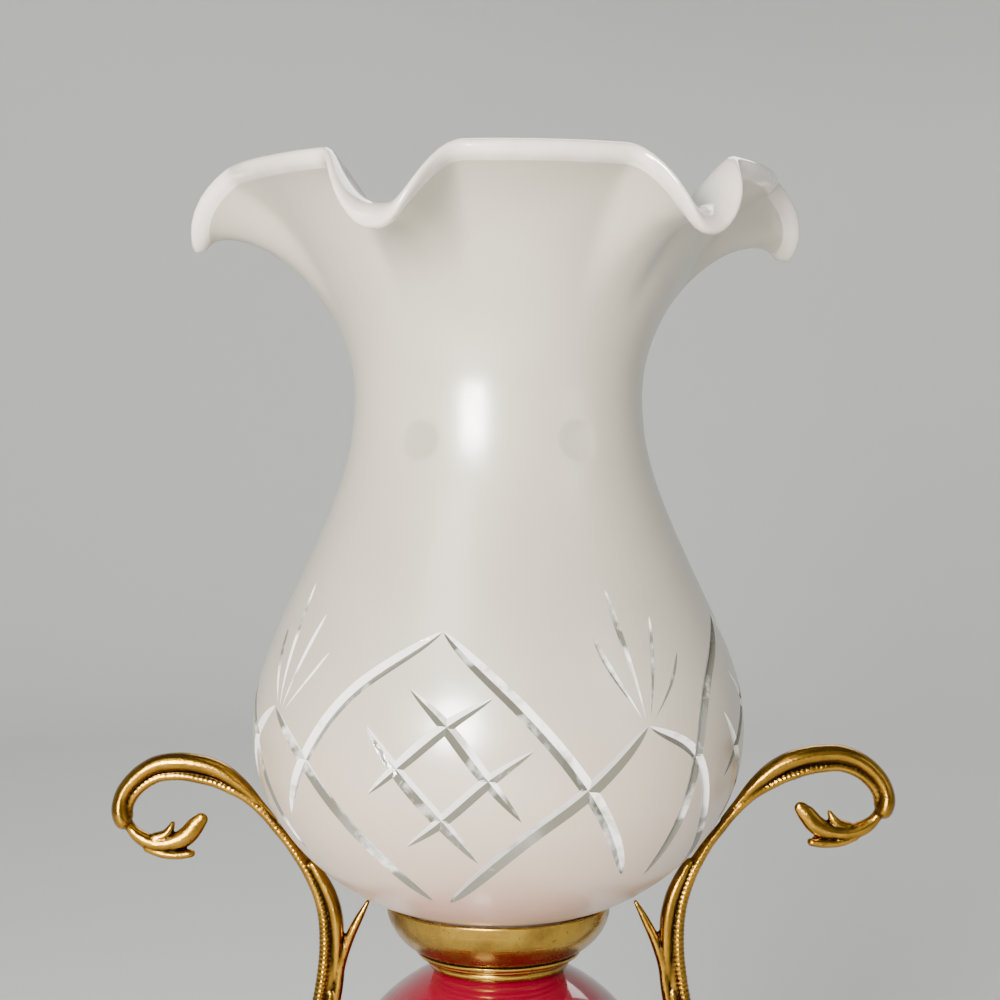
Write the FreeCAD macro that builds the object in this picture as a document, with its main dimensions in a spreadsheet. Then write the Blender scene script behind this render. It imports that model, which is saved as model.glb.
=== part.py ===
import FreeCAD, Part
import math
import os

import Sketcher

# Flat-wick oil lamp with a ruffled glass shade, millimetres.
# Origin: centre of the underside of the felt. +Z up, +X towards the right handle,
# -Y the front, so the wick knob stands at the back.

SIZES = {
    # pedestal
    "felt_radius": 60.5,
    "felt_top": 1.5,
    "foot_radius": 62.0,
    "foot_top": 38.0,
    "spun_wall": 1.4,
    "ballast_radius": 48.0,
    "rod_radius": 3.0,
    "rod_bore": 3.2,
    "baluster_top": 62.0,
    "knop_top": 78.0,
    "knop_radius": 14.0,
    "ring_top": 86.0,
    "flange_radius": 23.0,
    "hub_top": 100.0,
    # oil font
    "ball_radius": 43.9,
    "ball_centre": 152.0,
    "ball_wall": 3.0,
    "cement": 1.0,
    "cradle_wall": 1.4,
    "cradle_radius": 31.6,
    "neck_radius": 16.4,
    "mouth_radius": 14.0,
    "neck_top": 194.8,
    # collar and burner
    "collar_radius": 17.6,
    "collar_bore": 12.0,
    "collar_top": 197.6,
    "gallery_floor": 198.3,
    "gallery_rim": 209.6,
    "gallery_radius": 29.4,
    "plug_radius": 11.9,
    "plug_foot": 186.6,
    "shaft_height": 201.5,
    "shaft_radius": 1.1,
    "shaft_offset": 3.7,
    "wheel_radius": 2.6,
    "knob_radius": 6.5,
    "seat_top": 204.0,
    "diffuser_top": 205.0,
    "cone_radius": 18.3,
    "cone_top": 222.6,
    "wick_width": 16.0,
    "wick_thickness": 2.0,
    "wick_foot": 128.0,
    "wick_top": 220.6,
    "tube_top": 219.0,
    # shade
    "shade_wall": 2.4,
    "shade_foot": 204.1,
    "belly_radius": 64.0,
    "shade_height": 195.9,
    # handles
    "handle_reach": 99.9,
    "handle_radius": 3.5,
    "tang_top": 89.6,
}

RUFFLES = 6
RUFFLE_PHASE = -21.0
GAP = 0.02


def vector(x, y, z):
    return FreeCAD.Vector(x, y, z)


def make_sheet(doc):
    sheet = doc.addObject("Spreadsheet::Sheet", "Sizes")
    for row, (alias, value) in enumerate(SIZES.items(), start=1):
        sheet.set(f"A{row}", alias.replace("_", " "))
        sheet.set(f"B{row}", str(value))
        sheet.setAlias(f"B{row}", alias)
    doc.recompute()
    return sheet


doc = FreeCAD.newDocument("oil_lamp")
SHEET = make_sheet(doc)
NODES = []


def cell(alias):
    return float(SHEET.get(alias))


def formula(alias, offset=0.0):
    return f"Sizes.{alias} + {offset}"


def as_node(piece, name):
    """Gives a finished piece the name that its file takes."""
    piece.Label = name
    NODES.append(piece)
    return piece


# ---------------------------------------------------------------- sketch helpers


def corner_point(corner):
    across, across_offset, up, up_offset = corner
    return vector(cell(across) + across_offset, cell(up) + up_offset, 0)


def pin_vertex(sketch, edge, vertex, corner):
    """Ties one sketch vertex to two cells: its distance across and its height."""
    across, across_offset, up, up_offset = corner
    for kind, alias, offset in (
        ("DistanceX", across, across_offset),
        ("DistanceY", up, up_offset),
    ):
        value = cell(alias) + offset
        rule = Sketcher.Constraint(kind, -1, 1, edge, vertex, value)
        index = sketch.addConstraint(rule)
        sketch.setExpression(f"Constraints[{index}]", formula(alias, offset))


def plane_of(body, role):
    return next(item for item in body.Origin.OriginFeatures if item.Role == role)


def new_sketch(body, role, name):
    sketch = body.newObject("Sketcher::SketchObject", name)
    sketch.AttachmentSupport = [(plane_of(body, role), "")]
    sketch.MapMode = "FlatFace"
    return sketch


def draw_outline(sketch, outline):
    """Draws a closed outline. A step is a corner, reached by a straight line, or a
    pair (point on the way, corner), reached by an arc."""
    ends = [step[1] if len(step) == 2 else step for step in outline]
    count = len(outline)
    for index, step in enumerate(outline):
        start = corner_point(ends[index - 1])
        end = corner_point(ends[index])
        if len(step) == 2:
            edge = Part.Arc(start, corner_point(step[0]), end)
        else:
            edge = Part.LineSegment(start, end)
        sketch.addGeometry(edge, False)
    starts = []
    for index, step in enumerate(outline):
        start = corner_point(ends[index - 1])
        drawn = sketch.getPoint(index, 1)
        starts.append(1 if (drawn - start).Length < 1e-6 else 2)
    for index in range(count):
        following = (index + 1) % count
        finish = 3 - starts[index]
        rule = Sketcher.Constraint("Coincident", index, finish, following, starts[following])
        sketch.addConstraint(rule)
        pin_vertex(sketch, index, finish, ends[index])
    for index, step in enumerate(outline):
        if len(step) == 2:
            marker = sketch.addGeometry(Part.Point(corner_point(step[0])), True)
            sketch.addConstraint(Sketcher.Constraint("PointOnObject", marker, 1, index))
            pin_vertex(sketch, marker, 1, step[0])


def turned(name, outline):
    """A turned or spun piece: the outline (across, up) revolved about the Z axis."""
    body = doc.addObject("PartDesign::Body", name + "_turned")
    sketch = new_sketch(body, "XZ_Plane", name + "_outline")
    draw_outline(sketch, outline)
    spin = body.newObject("PartDesign::Revolution", name + "_spin")
    spin.Profile = sketch
    spin.ReferenceAxis = (sketch, ["V_Axis"])
    spin.Angle = 360.0
    body.Tip = spin
    return body


# ------------------------------------------------------------- primitive helpers


def bind(piece, **rules):
    for prop, rule in rules.items():
        piece.setExpression(prop.replace("__", "."), rule)
    return piece


def upright_cylinder(name, radius, foot, height):
    piece = doc.addObject("Part::Cylinder", name)
    return bind(piece, Radius=radius, Height=height, Placement__Base__z=foot)


def lying_cylinder(name, radius, length, x_place, y_place, z_place):
    """A cylinder along +Y that starts at y_place."""
    piece = doc.addObject("Part::Cylinder", name)
    piece.Placement.Rotation = FreeCAD.Rotation(vector(1, 0, 0), -90)
    bind(piece, Radius=radius, Height=length)
    bind(piece, Placement__Base__x=x_place, Placement__Base__y=y_place)
    return bind(piece, Placement__Base__z=z_place)


def centred_box(name, x_size, y_size, foot, height):
    piece = doc.addObject("Part::Box", name)
    bind(piece, Length=x_size, Width=y_size, Height=height)
    bind(piece, Placement__Base__x=f"-({x_size}) / 2", Placement__Base__y=f"-({y_size}) / 2")
    return bind(piece, Placement__Base__z=foot)


def cut(name, base, tool):
    piece = doc.addObject("Part::Cut", name + "_cut")
    piece.Base = base
    piece.Tool = tool
    return piece


def joined(name, pieces):
    piece = doc.addObject("Part::MultiFuse", name + "_join")
    piece.Shapes = pieces
    return piece


def grouped(name, pieces):
    piece = doc.addObject("Part::Compound", name + "_group")
    piece.Links = pieces
    return piece


def mirrored(name, source, normal):
    piece = doc.addObject("Part::Mirroring", name + "_mirror")
    piece.Source = source
    piece.Base = vector(0, 0, 0)
    piece.Normal = normal
    return piece


def hexagon_nut(name, foot, height):
    blank = doc.addObject("Part::Prism", name + "_blank")
    blank.Polygon = 6
    bind(blank, Circumradius="Sizes.rod_radius * 1.92", Height=height)
    bind(blank, Placement__Base__z=foot)
    hole = upright_cylinder(name + "_hole", formula("rod_radius"), f"{foot} - 1", f"{height} + 2")
    return as_node(cut(name, blank, hole), name)


# ---------------------------------------------------------------------- pedestal


def make_pedestal():
    as_node(
        upright_cylinder("felt", formula("felt_radius"), "0", formula("felt_top")), "felt_pad"
    )
    make_foot()
    make_ballast()
    hexagon_nut("base_nut", formula("felt_top", 0.5), "4.8")
    washer = turned(
        "washer",
        [
            ("rod_bore", 0.0, "felt_top", 5.3),
            ("rod_bore", 5.6, "felt_top", 5.3),
            ("rod_bore", 5.6, "felt_top", 6.5),
            ("rod_bore", 0.0, "felt_top", 6.5),
        ],
    )
    as_node(washer, "base_washer")
    spacer = turned(
        "spacer",
        [
            ("rod_bore", 0.0, "felt_top", 13.5),
            ("rod_bore", 2.4, "felt_top", 13.5),
            ("rod_bore", 2.4, "foot_top", -1.4),
            ("rod_bore", 0.0, "foot_top", -1.4),
        ],
    )
    as_node(spacer, "spacer_tube")
    as_node(
        upright_cylinder(
            "rod",
            formula("rod_radius"),
            formula("felt_top", 0.4),
            "Sizes.hub_top - Sizes.felt_top + 6.6",
        ),
        "tie_rod",
    )
    make_baluster()
    make_knop()
    make_ring()
    make_bracket()


def make_foot():
    """Spun foot: rolled edge, flat step, dome, second step and a hollow sweep up."""
    outline = [
        ("foot_radius", 0.0, "felt_top", 0.0),
        ("foot_radius", 0.0, "felt_top", 2.6),
        (("foot_radius", -0.8, "felt_top", 4.7), ("foot_radius", -2.8, "felt_top", 5.5)),
        ("foot_radius", -5.5, "felt_top", 5.5),
        (("foot_radius", -14.5, "felt_top", 12.6), ("foot_radius", -29.0, "felt_top", 17.0)),
        ("foot_radius", -32.0, "felt_top", 17.0),
        (("rod_bore", 14.6, "foot_top", -11.5), ("rod_bore", 9.3, "foot_top", -1.2)),
        ("rod_bore", 9.3, "foot_top", 0.0),
        ("rod_bore", 0.0, "foot_top", 0.0),
        ("rod_bore", 0.0, "foot_top", -1.4),
        ("rod_bore", 7.9, "foot_top", -1.4),
        (("rod_bore", 13.4, "foot_top", -12.4), ("foot_radius", -32.4, "felt_top", 15.6)),
        ("foot_radius", -29.2, "felt_top", 15.6),
        (("foot_radius", -15.3, "felt_top", 11.4), ("foot_radius", -6.1, "felt_top", 4.1)),
        ("foot_radius", -2.9, "felt_top", 4.1),
        (("foot_radius", -1.8, "felt_top", 3.7), ("foot_radius", -1.4, "felt_top", 2.6)),
        ("foot_radius", -1.4, "felt_top", 0.0),
    ]
    as_node(turned("foot", outline), "base_foot")


def make_ballast():
    """Cast-iron weight with a raised hub and a recess below for the nut."""
    outline = [
        ("rod_bore", 7.0, "felt_top", 0.0),
        ("ballast_radius", 0.0, "felt_top", 0.0),
        ("ballast_radius", 0.0, "felt_top", 5.5),
        ("ballast_radius", -2.0, "felt_top", 8.0),
        ("rod_bore", 14.0, "felt_top", 9.5),
        ("rod_bore", 11.0, "felt_top", 13.5),
        ("rod_bore", 0.0, "felt_top", 13.5),
        ("rod_bore", 0.0, "felt_top", 6.5),
        ("rod_bore", 7.0, "felt_top", 6.5),
    ]
    as_node(turned("ballast", outline), "ballast_disc")


def make_baluster():
    outline = [
        ("rod_bore", 0.0, "foot_top", 0.0),
        ("rod_bore", 8.3, "foot_top", 0.0),
        (("rod_bore", 9.9, "foot_top", 1.6), ("rod_bore", 8.3, "foot_top", 3.2)),
        ("rod_bore", 6.4, "foot_top", 3.6),
        (("rod_bore", 3.4, "foot_top", 11.5), ("rod_bore", 5.0, "baluster_top", -4.6)),
        ("rod_bore", 7.3, "baluster_top", -3.4),
        (("rod_bore", 8.9, "baluster_top", -1.7), ("rod_bore", 7.3, "baluster_top", 0.0)),
        ("rod_bore", 0.0, "baluster_top", 0.0),
    ]
    as_node(turned("baluster", outline), "stem_baluster")


def make_knop():
    outline = [
        ("rod_bore", 0.0, "baluster_top", 0.0),
        ("rod_bore", 4.8, "baluster_top", 0.0),
        ("rod_bore", 4.8, "baluster_top", 1.6),
        (("knop_radius", 0.0, "baluster_top", 8.0), ("rod_bore", 4.8, "knop_top", -1.6)),
        ("rod_bore", 4.8, "knop_top", 0.0),
        ("rod_bore", 0.0, "knop_top", 0.0),
    ]
    as_node(turned("knop", outline), "stem_knop")


def make_ring():
    outline = [
        ("rod_bore", 0.0, "knop_top", 0.0),
        ("rod_bore", 6.4, "knop_top", 0.0),
        (("rod_bore", 8.0, "knop_top", 1.5), ("rod_bore", 6.4, "knop_top", 3.0)),
        (("rod_bore", 6.8, "knop_top", 5.6), ("rod_bore", 10.0, "ring_top", -1.4)),
        ("rod_bore", 12.2, "ring_top", -1.2),
        ("rod_bore", 12.2, "ring_top", 0.0),
        ("rod_bore", 0.0, "ring_top", 0.0),
    ]
    as_node(turned("ring", outline), "stem_ring")


def make_bracket():
    """Flange that the two handle tangs are screwed to, with a hub for the cradle."""
    outline = [
        ("rod_bore", 0.0, "ring_top", 0.0),
        ("flange_radius", -1.0, "ring_top", 0.0),
        (("flange_radius", 0.0, "ring_top", 1.8), ("flange_radius", -1.0, "ring_top", 3.6)),
        ("rod_bore", 6.2, "ring_top", 3.6),
        (("rod_bore", 4.4, "ring_top", 8.6), ("rod_bore", 6.6, "hub_top", 0.0)),
        ("rod_bore", 0.0, "hub_top", 0.0),
    ]
    blank = turned("bracket", outline)
    hole = upright_cylinder(
        "tapped_hole", "1.25", formula("ring_top", -1.0), "Sizes.tang_top - Sizes.ring_top + 2"
    )
    hole.Placement.Base.x = 17.0
    other = mirrored("tapped_hole", hole, vector(1, 0, 0))
    drilled = cut("bracket_right", blank, hole)
    as_node(cut("bracket", drilled, other), "handle_bracket")
    make_screws()


def make_screws():
    """Two cheese-head screws that hold the handle tangs on the flange."""
    shank = upright_cylinder("screw_shank", "1.25", formula("ring_top", 0.4), "6.7")
    head = upright_cylinder("screw_head", "2.8", formula("tang_top", 3.5), "2.2")
    slot = centred_box("screw_slot", "8", "0.9", formula("tang_top", 4.9), "2")
    for piece in (shank, head):
        piece.Placement.Base.x = 17.0
    slot.setExpression("Placement.Base.x", "17 - 4")
    slotted = cut("screw_head", head, slot)
    screw = joined("screw", [shank, slotted])
    pair = grouped("screws", [screw, mirrored("screw", screw, vector(1, 0, 0))])
    as_node(pair, "handle_screws")


# -------------------------------------------------------------------------- font


def ball_height(radius, across):
    """Height above the ball's centre of a sphere's surface, at a distance across."""
    return math.sqrt(radius * radius - across * across)


def sphere_arc(extra, low, high):
    """Underside arc of a sphere `extra` outside the ball, between two radii."""
    radius = cell("ball_radius") + extra
    middle = 0.5 * (low + high)
    wall = cell("cradle_radius")
    return (
        ("cradle_radius", middle - wall, "ball_centre", -ball_height(radius, middle)),
        ("cradle_radius", high - wall, "ball_centre", -ball_height(radius, high)),
    )


def make_cradle():
    """Spun brass calyx that the ball is cemented into, with a pocket for its nut."""
    rim = cell("cradle_radius")
    inner = cell("cement")
    outer = inner + cell("cradle_wall")
    pocket = cell("rod_bore") + 3.6
    waist = cell("rod_bore") + 8.6
    outline = [
        ("rod_bore", 0.0, "hub_top", 0.0),
        ("rod_bore", 7.6, "hub_top", 0.0),
        (("rod_bore", 8.9, "hub_top", 1.3), ("rod_bore", 7.6, "hub_top", 2.6)),
        ("rod_bore", 5.6, "hub_top", 3.6),
        (
            ("rod_bore", 6.2, "hub_top", 5.0),
            sphere_arc(outer, waist, waist)[1],
        ),
        sphere_arc(outer, waist, rim + 1.0),
        sphere_arc(inner, rim + 1.0, rim)[1],
        sphere_arc(inner, rim, pocket),
        ("rod_bore", 3.6, "hub_top", 3.6),
        ("rod_bore", 0.0, "hub_top", 3.6),
    ]
    as_node(turned("cradle", outline), "font_cradle")
    hexagon_nut("cradle_nut", formula("hub_top", 3.6), "2.9")


def make_cement():
    rim = cell("cradle_radius") - 0.3
    pocket = cell("rod_bore") + 3.6
    outline = [
        sphere_arc(0.0, pocket, pocket)[1],
        sphere_arc(0.0, pocket, rim),
        sphere_arc(cell("cement"), rim, rim)[1],
        sphere_arc(cell("cement"), rim, pocket),
    ]
    as_node(turned("cement", outline), "font_cement")


def make_font():
    """Blown glass ball with a low neck and a round mouth."""
    ball = doc.addObject("Part::Sphere", "ball_outside")
    bind(ball, Radius=formula("ball_radius"), Placement__Base__z=formula("ball_centre"))
    neck = upright_cylinder(
        "neck",
        formula("neck_radius"),
        formula("ball_centre", 30.0),
        "Sizes.neck_top - Sizes.ball_centre - 30",
    )
    hollow = doc.addObject("Part::Sphere", "ball_hollow")
    bind(hollow, Radius="Sizes.ball_radius - Sizes.ball_wall")
    bind(hollow, Placement__Base__z=formula("ball_centre"))
    mouth = upright_cylinder(
        "mouth",
        formula("mouth_radius"),
        formula("ball_centre", 30.0),
        "Sizes.neck_top - Sizes.ball_centre - 26",
    )
    outside = joined("font_outside", [ball, neck])
    inside = joined("font_inside", [hollow, mouth])
    as_node(cut("font", outside, inside), "font")


def make_collar():
    """Brass collar: flared outside, smooth bore with two bayonet notches."""
    outline = [
        ("collar_bore", 0.0, "plug_foot", 4.2),
        ("collar_bore", 1.2, "plug_foot", 4.2),
        ("collar_bore", 1.2, "neck_top", 0.0),
        ("collar_radius", -0.4, "neck_top", 0.0),
        (("collar_radius", 1.9, "neck_top", 1.1), ("collar_radius", 3.9, "collar_top", 0.0)),
        ("collar_bore", 0.0, "collar_top", 0.0),
    ]
    collar = turned("collar", outline)
    notch = centred_box(
        "notch",
        "Sizes.collar_bore * 2 + 4",
        "3.8",
        formula("plug_foot", 4.0),
        "Sizes.neck_top - Sizes.plug_foot - 4.8",
    )
    turn = doc.addObject("Part::Compound", "notch_turned")
    turn.Links = [notch]
    turn.Placement = FreeCAD.Placement(vector(0, 0, 0), FreeCAD.Rotation(vector(0, 0, 1), 40))
    as_node(cut("collar", collar, turn), "font_collar")


# ------------------------------------------------------------------------ burner


def make_gasket():
    outline = [
        ("collar_bore", 0.2, "collar_top", 0.0),
        ("collar_radius", 0.4, "collar_top", 0.0),
        ("collar_radius", 0.4, "gallery_floor", 0.0),
        ("collar_bore", 0.2, "gallery_floor", 0.0),
    ]
    as_node(turned("gasket", outline), "burner_gasket")


def make_gallery():
    """Spun bowl under the shade, open above, with a hole at the back for the shaft."""
    outline = [
        ("collar_bore", 0.2, "gallery_floor", 0.0),
        ("collar_radius", 4.6, "gallery_floor", 0.0),
        (
            ("gallery_radius", -3.1, "gallery_floor", 3.3),
            ("gallery_radius", -0.3, "gallery_rim", -2.6),
        ),
        ("gallery_radius", 0.0, "gallery_rim", -0.7),
        (("gallery_radius", -0.5, "gallery_rim", 0.0), ("gallery_radius", -1.0, "gallery_rim", -0.7)),
        ("gallery_radius", -1.2, "gallery_rim", -2.6),
        (("gallery_radius", -3.8, "gallery_floor", 3.8), ("collar_radius", 4.2, "gallery_floor", 0.8)),
        ("collar_bore", 0.2, "gallery_floor", 0.8),
    ]
    bowl = turned("gallery", outline)
    hole = lying_cylinder(
        "shaft_hole",
        formula("shaft_radius", 0.5),
        "12",
        formula("shaft_offset"),
        "20",
        formula("shaft_height"),
    )
    as_node(cut("gallery", bowl, hole), "gallery_cup")


def make_shaft_bush():
    """Brass bush in the wall of the bowl that carries the wick shaft."""
    outside = lying_cylinder(
        "bush_outside",
        formula("shaft_radius", 0.5),
        "6.2",
        formula("shaft_offset"),
        "22.2",
        formula("shaft_height"),
    )
    inside = lying_cylinder(
        "bush_inside",
        formula("shaft_radius", 0.08),
        "9",
        formula("shaft_offset"),
        "21",
        formula("shaft_height"),
    )
    as_node(cut("shaft_bush", outside, inside), "shaft_bush")


def make_seat():
    """Ring that the neck of the shade stands on, scalloped to let air in."""
    outline = [
        ("cone_radius", 3.0, "seat_top", -0.6),
        ("cone_radius", 6.9, "seat_top", -0.6),
        ("cone_radius", 7.5, "seat_top", 0.0),
        ("cone_radius", 3.0, "seat_top", 0.0),
    ]
    body = turned("seat", outline)
    sketch = new_sketch(body, "XY_Plane", "scallop_outline")
    sketch.addGeometry(Part.Circle(vector(25.0, 0, 0), vector(0, 0, 1), 1.9), False)
    sketch.addConstraint(Sketcher.Constraint("PointOnObject", 0, 3, -1))
    place = sketch.addConstraint(Sketcher.Constraint("DistanceX", -1, 1, 0, 3, 25.0))
    sketch.setExpression(f"Constraints[{place}]", formula("cone_radius", 7.3))
    sketch.addConstraint(Sketcher.Constraint("Radius", 0, 1.9))
    pocket = body.newObject("PartDesign::Pocket", "scallop")
    pocket.Profile = sketch
    pocket.Type = "ThroughAll"
    pocket.Reversed = True
    ring = body.newObject("PartDesign::PolarPattern", "scallops")
    ring.Originals = [pocket]
    ring.Axis = (sketch, ["N_Axis"])
    ring.Angle = 360.0
    ring.Occurrences = 16
    body.Tip = ring
    as_node(body, "shade_seat")


def make_barrel():
    """Burner body: a plug in the collar with two bayonet lugs and three posts."""
    outline = [
        ("collar_bore", -9.0, "plug_foot", 0.0),
        ("plug_radius", 0.0, "plug_foot", 0.0),
        ("plug_radius", 0.0, "gallery_floor", 0.8),
        ("collar_radius", -1.0, "gallery_floor", 0.8),
        ("collar_radius", -1.0, "gallery_floor", 1.6),
        ("plug_radius", -1.3, "gallery_floor", 1.6),
        ("plug_radius", -1.3, "plug_foot", 1.0),
        ("collar_bore", -9.0, "plug_foot", 1.0),
    ]
    shell = turned("barrel", outline)
    floor = upright_cylinder("barrel_floor", "5", formula("plug_foot"), "1")
    lugs = centred_box("lugs", "Sizes.collar_bore * 2 + 2.0", "3", formula("plug_foot", 2.0), "1.9")
    core = upright_cylinder("lug_core", formula("plug_radius", -0.6), formula("plug_foot", 1.0), "5")
    posts = [make_post(angle) for angle in (30, 150, 270)]
    solid = joined("barrel", [shell, floor, cut("lugs", lugs, core)] + posts)
    slot = centred_box(
        "barrel_slot",
        "Sizes.wick_thickness + 2.0",
        "Sizes.wick_width + 2.0",
        formula("plug_foot", -1.0),
        "3",
    )
    vent = upright_cylinder("barrel_vent", "1.1", formula("plug_foot", -1.0), "3")
    vent.Placement.Base.x = -6.0
    as_node(cut("barrel", solid, joined("barrel_tools", [slot, vent])), "burner_barrel")


def make_post(angle):
    post = upright_cylinder(
        f"post_{angle}",
        "1.0",
        formula("gallery_floor", 1.2),
        "Sizes.diffuser_top - Sizes.gallery_floor - 1.8",
    )
    post.Placement.Base.x = 13.4 * math.cos(math.radians(angle))
    post.Placement.Base.y = 13.4 * math.sin(math.radians(angle))
    return post


def make_wick_tube():
    """Flat tube for the wick, with a window on the shaft side for the wheels."""
    outside = centred_box(
        "tube_outside",
        "Sizes.wick_thickness + 2.0",
        "Sizes.wick_width + 2.0",
        formula("plug_foot", -2.0),
        "Sizes.tube_top - Sizes.plug_foot + 2",
    )
    inside = centred_box(
        "tube_inside",
        "Sizes.wick_thickness + 0.8",
        "Sizes.wick_width + 0.8",
        formula("plug_foot", -3.0),
        "Sizes.tube_top - Sizes.plug_foot + 4",
    )
    window = doc.addObject("Part::Box", "tube_window")
    bind(window, Length="3", Width="13", Height="6.4")
    bind(window, Placement__Base__x="0.5", Placement__Base__y="-6.5")
    bind(window, Placement__Base__z=formula("shaft_height", -3.2))
    as_node(cut("tube", outside, joined("tube_tools", [inside, window])), "wick_tube")


def make_vent_tube():
    outside = upright_cylinder("vent_outside", "1.1", formula("plug_foot", -2.0), "18.4")
    inside = upright_cylinder("vent_inside", "0.7", formula("plug_foot", -3.0), "21")
    for piece in (outside, inside):
        piece.Placement.Base.x = -6.0
    as_node(cut("vent", outside, inside), "vent_tube")


def make_diffuser():
    """Pierced plate that spreads the air under the flame cone."""
    outline = [
        ("cone_radius", -17.3, "diffuser_top", -0.6),
        ("cone_radius", 2.4, "diffuser_top", -0.6),
        ("cone_radius", 2.4, "diffuser_top", 0.0),
        ("cone_radius", -17.3, "diffuser_top", 0.0),
    ]
    body = turned("diffuser", outline)
    pattern = None
    for index, (reach, radius, count) in enumerate(((16.0, 0.8, 28), (12.6, 0.8, 20))):
        sketch = new_sketch(body, "XY_Plane", f"pierce_outline_{index}")
        sketch.addGeometry(Part.Circle(vector(reach, 0, 0), vector(0, 0, 1), radius), False)
        sketch.addConstraint(Sketcher.Constraint("PointOnObject", 0, 3, -1))
        place = sketch.addConstraint(Sketcher.Constraint("DistanceX", -1, 1, 0, 3, reach))
        sketch.setExpression(f"Constraints[{place}]", formula("cone_radius", reach - 18.3))
        sketch.addConstraint(Sketcher.Constraint("Radius", 0, radius))
        pocket = body.newObject("PartDesign::Pocket", f"pierce_{index}")
        pocket.Profile = sketch
        pocket.Type = "ThroughAll"
        pocket.Reversed = True
        pattern = body.newObject("PartDesign::PolarPattern", f"pierces_{index}")
        pattern.Originals = [pocket]
        pattern.Axis = (sketch, ["N_Axis"])
        pattern.Angle = 360.0
        pattern.Occurrences = count
        body.Tip = pattern
    slot = centred_box(
        "diffuser_slot",
        "Sizes.wick_thickness + 2.2",
        "Sizes.wick_width + 2.2",
        formula("diffuser_top", -2.0),
        "4",
    )
    as_node(cut("diffuser", body, slot), "air_diffuser")


def make_cone():
    """Domed flame spreader with a slot over the wick."""
    outline = [
        ("cone_radius", -0.6, "diffuser_top", GAP),
        ("cone_radius", 1.2, "diffuser_top", GAP),
        ("cone_radius", 1.2, "diffuser_top", 0.6),
        ("cone_radius", 0.0, "diffuser_top", 0.6),
        ("cone_radius", 0.0, "diffuser_top", 2.6),
        (("cone_radius", -5.6, "cone_top", -3.8), ("cone_radius", -17.3, "cone_top", 0.0)),
        ("cone_radius", -17.3, "cone_top", -0.6),
        (("cone_radius", -6.1, "cone_top", -4.3), ("cone_radius", -0.6, "diffuser_top", 2.5)),
    ]
    dome = turned("cone", outline)
    slot = centred_box("cone_slot", "6.4", "Sizes.wick_width + 4.0", formula("cone_top", -7.0), "9")
    as_node(cut("cone", dome, slot), "flame_cone")


def make_wick():
    strip = centred_box(
        "wick_strip",
        formula("wick_thickness"),
        formula("wick_width"),
        formula("wick_foot"),
        "Sizes.wick_top - Sizes.wick_foot",
    )
    as_node(strip, "wick")


def make_wick_raiser():
    """Shaft, two toothed wheels that press on the wick, and the knob at the back."""
    shaft = lying_cylinder(
        "shaft",
        formula("shaft_radius"),
        "43.9",
        formula("shaft_offset"),
        "-9.4",
        formula("shaft_height"),
    )
    wheel = toothed_disc("wheel", "wheel_radius", 12, 0.4, 1.6, 3.7)
    pair = grouped("wheels", [wheel, mirrored("wheel", wheel, vector(0, 1, 0))])
    as_node(pair, "wick_wheels")
    knob = toothed_disc("knob", "knob_radius", 30, 0.45, 4.2, 31.0)
    as_node(knob, "wick_knob")
    as_node(shaft, "wick_shaft")


def toothed_disc(name, radius_alias, teeth, notch, thickness, start):
    """Disc about the wick shaft with a notched edge, from y = start outwards."""
    radius = cell(radius_alias)
    body = doc.addObject("PartDesign::Body", name + "_disc")
    disc = new_sketch(body, "XZ_Plane", name + "_outline")
    disc.addGeometry(Part.Circle(vector(0, 0, 0), vector(0, 0, 1), radius), False)
    disc.addGeometry(Part.Circle(vector(0, 0, 0), vector(0, 0, 1), 1.1), False)
    disc.addConstraint(Sketcher.Constraint("Coincident", 0, 3, -1, 1))
    disc.addConstraint(Sketcher.Constraint("Coincident", 1, 3, -1, 1))
    edge = disc.addConstraint(Sketcher.Constraint("Radius", 0, radius))
    disc.setExpression(f"Constraints[{edge}]", formula(radius_alias))
    bore = disc.addConstraint(Sketcher.Constraint("Radius", 1, 1.1))
    disc.setExpression(f"Constraints[{bore}]", formula("shaft_radius"))
    pad = body.newObject("PartDesign::Pad", name + "_pad")
    pad.Profile = disc
    pad.Length = thickness
    pad.Reversed = True
    body.Tip = pad
    doc.recompute()
    solid_volume = pad.Shape.Volume
    cutter = new_sketch(body, "XZ_Plane", name + "_notch_outline")
    cutter.addGeometry(Part.Circle(vector(radius, 0, 0), vector(0, 0, 1), notch), False)
    cutter.addConstraint(Sketcher.Constraint("PointOnObject", 0, 3, -1))
    place = cutter.addConstraint(Sketcher.Constraint("DistanceX", -1, 1, 0, 3, radius))
    cutter.setExpression(f"Constraints[{place}]", formula(radius_alias))
    cutter.addConstraint(Sketcher.Constraint("Radius", 0, notch))
    pocket = body.newObject("PartDesign::Pocket", name + "_notch")
    pocket.Profile = cutter
    pocket.Type = "ThroughAll"
    pocket.Midplane = True
    ring = body.newObject("PartDesign::PolarPattern", name + "_notches")
    ring.Originals = [pocket]
    ring.Axis = (cutter, ["N_Axis"])
    ring.Angle = 360.0
    ring.Occurrences = teeth
    body.Tip = ring
    bind(body, Placement__Base__x=formula("shaft_offset"), Placement__Base__z=formula("shaft_height"))
    body.Placement.Base.y = start
    doc.recompute()
    if ring.Shape.Volume > solid_volume - 0.5:
        raise ValueError(f"{name}: the notches cut nothing")
    return body


# ------------------------------------------------------------------------- shade

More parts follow.
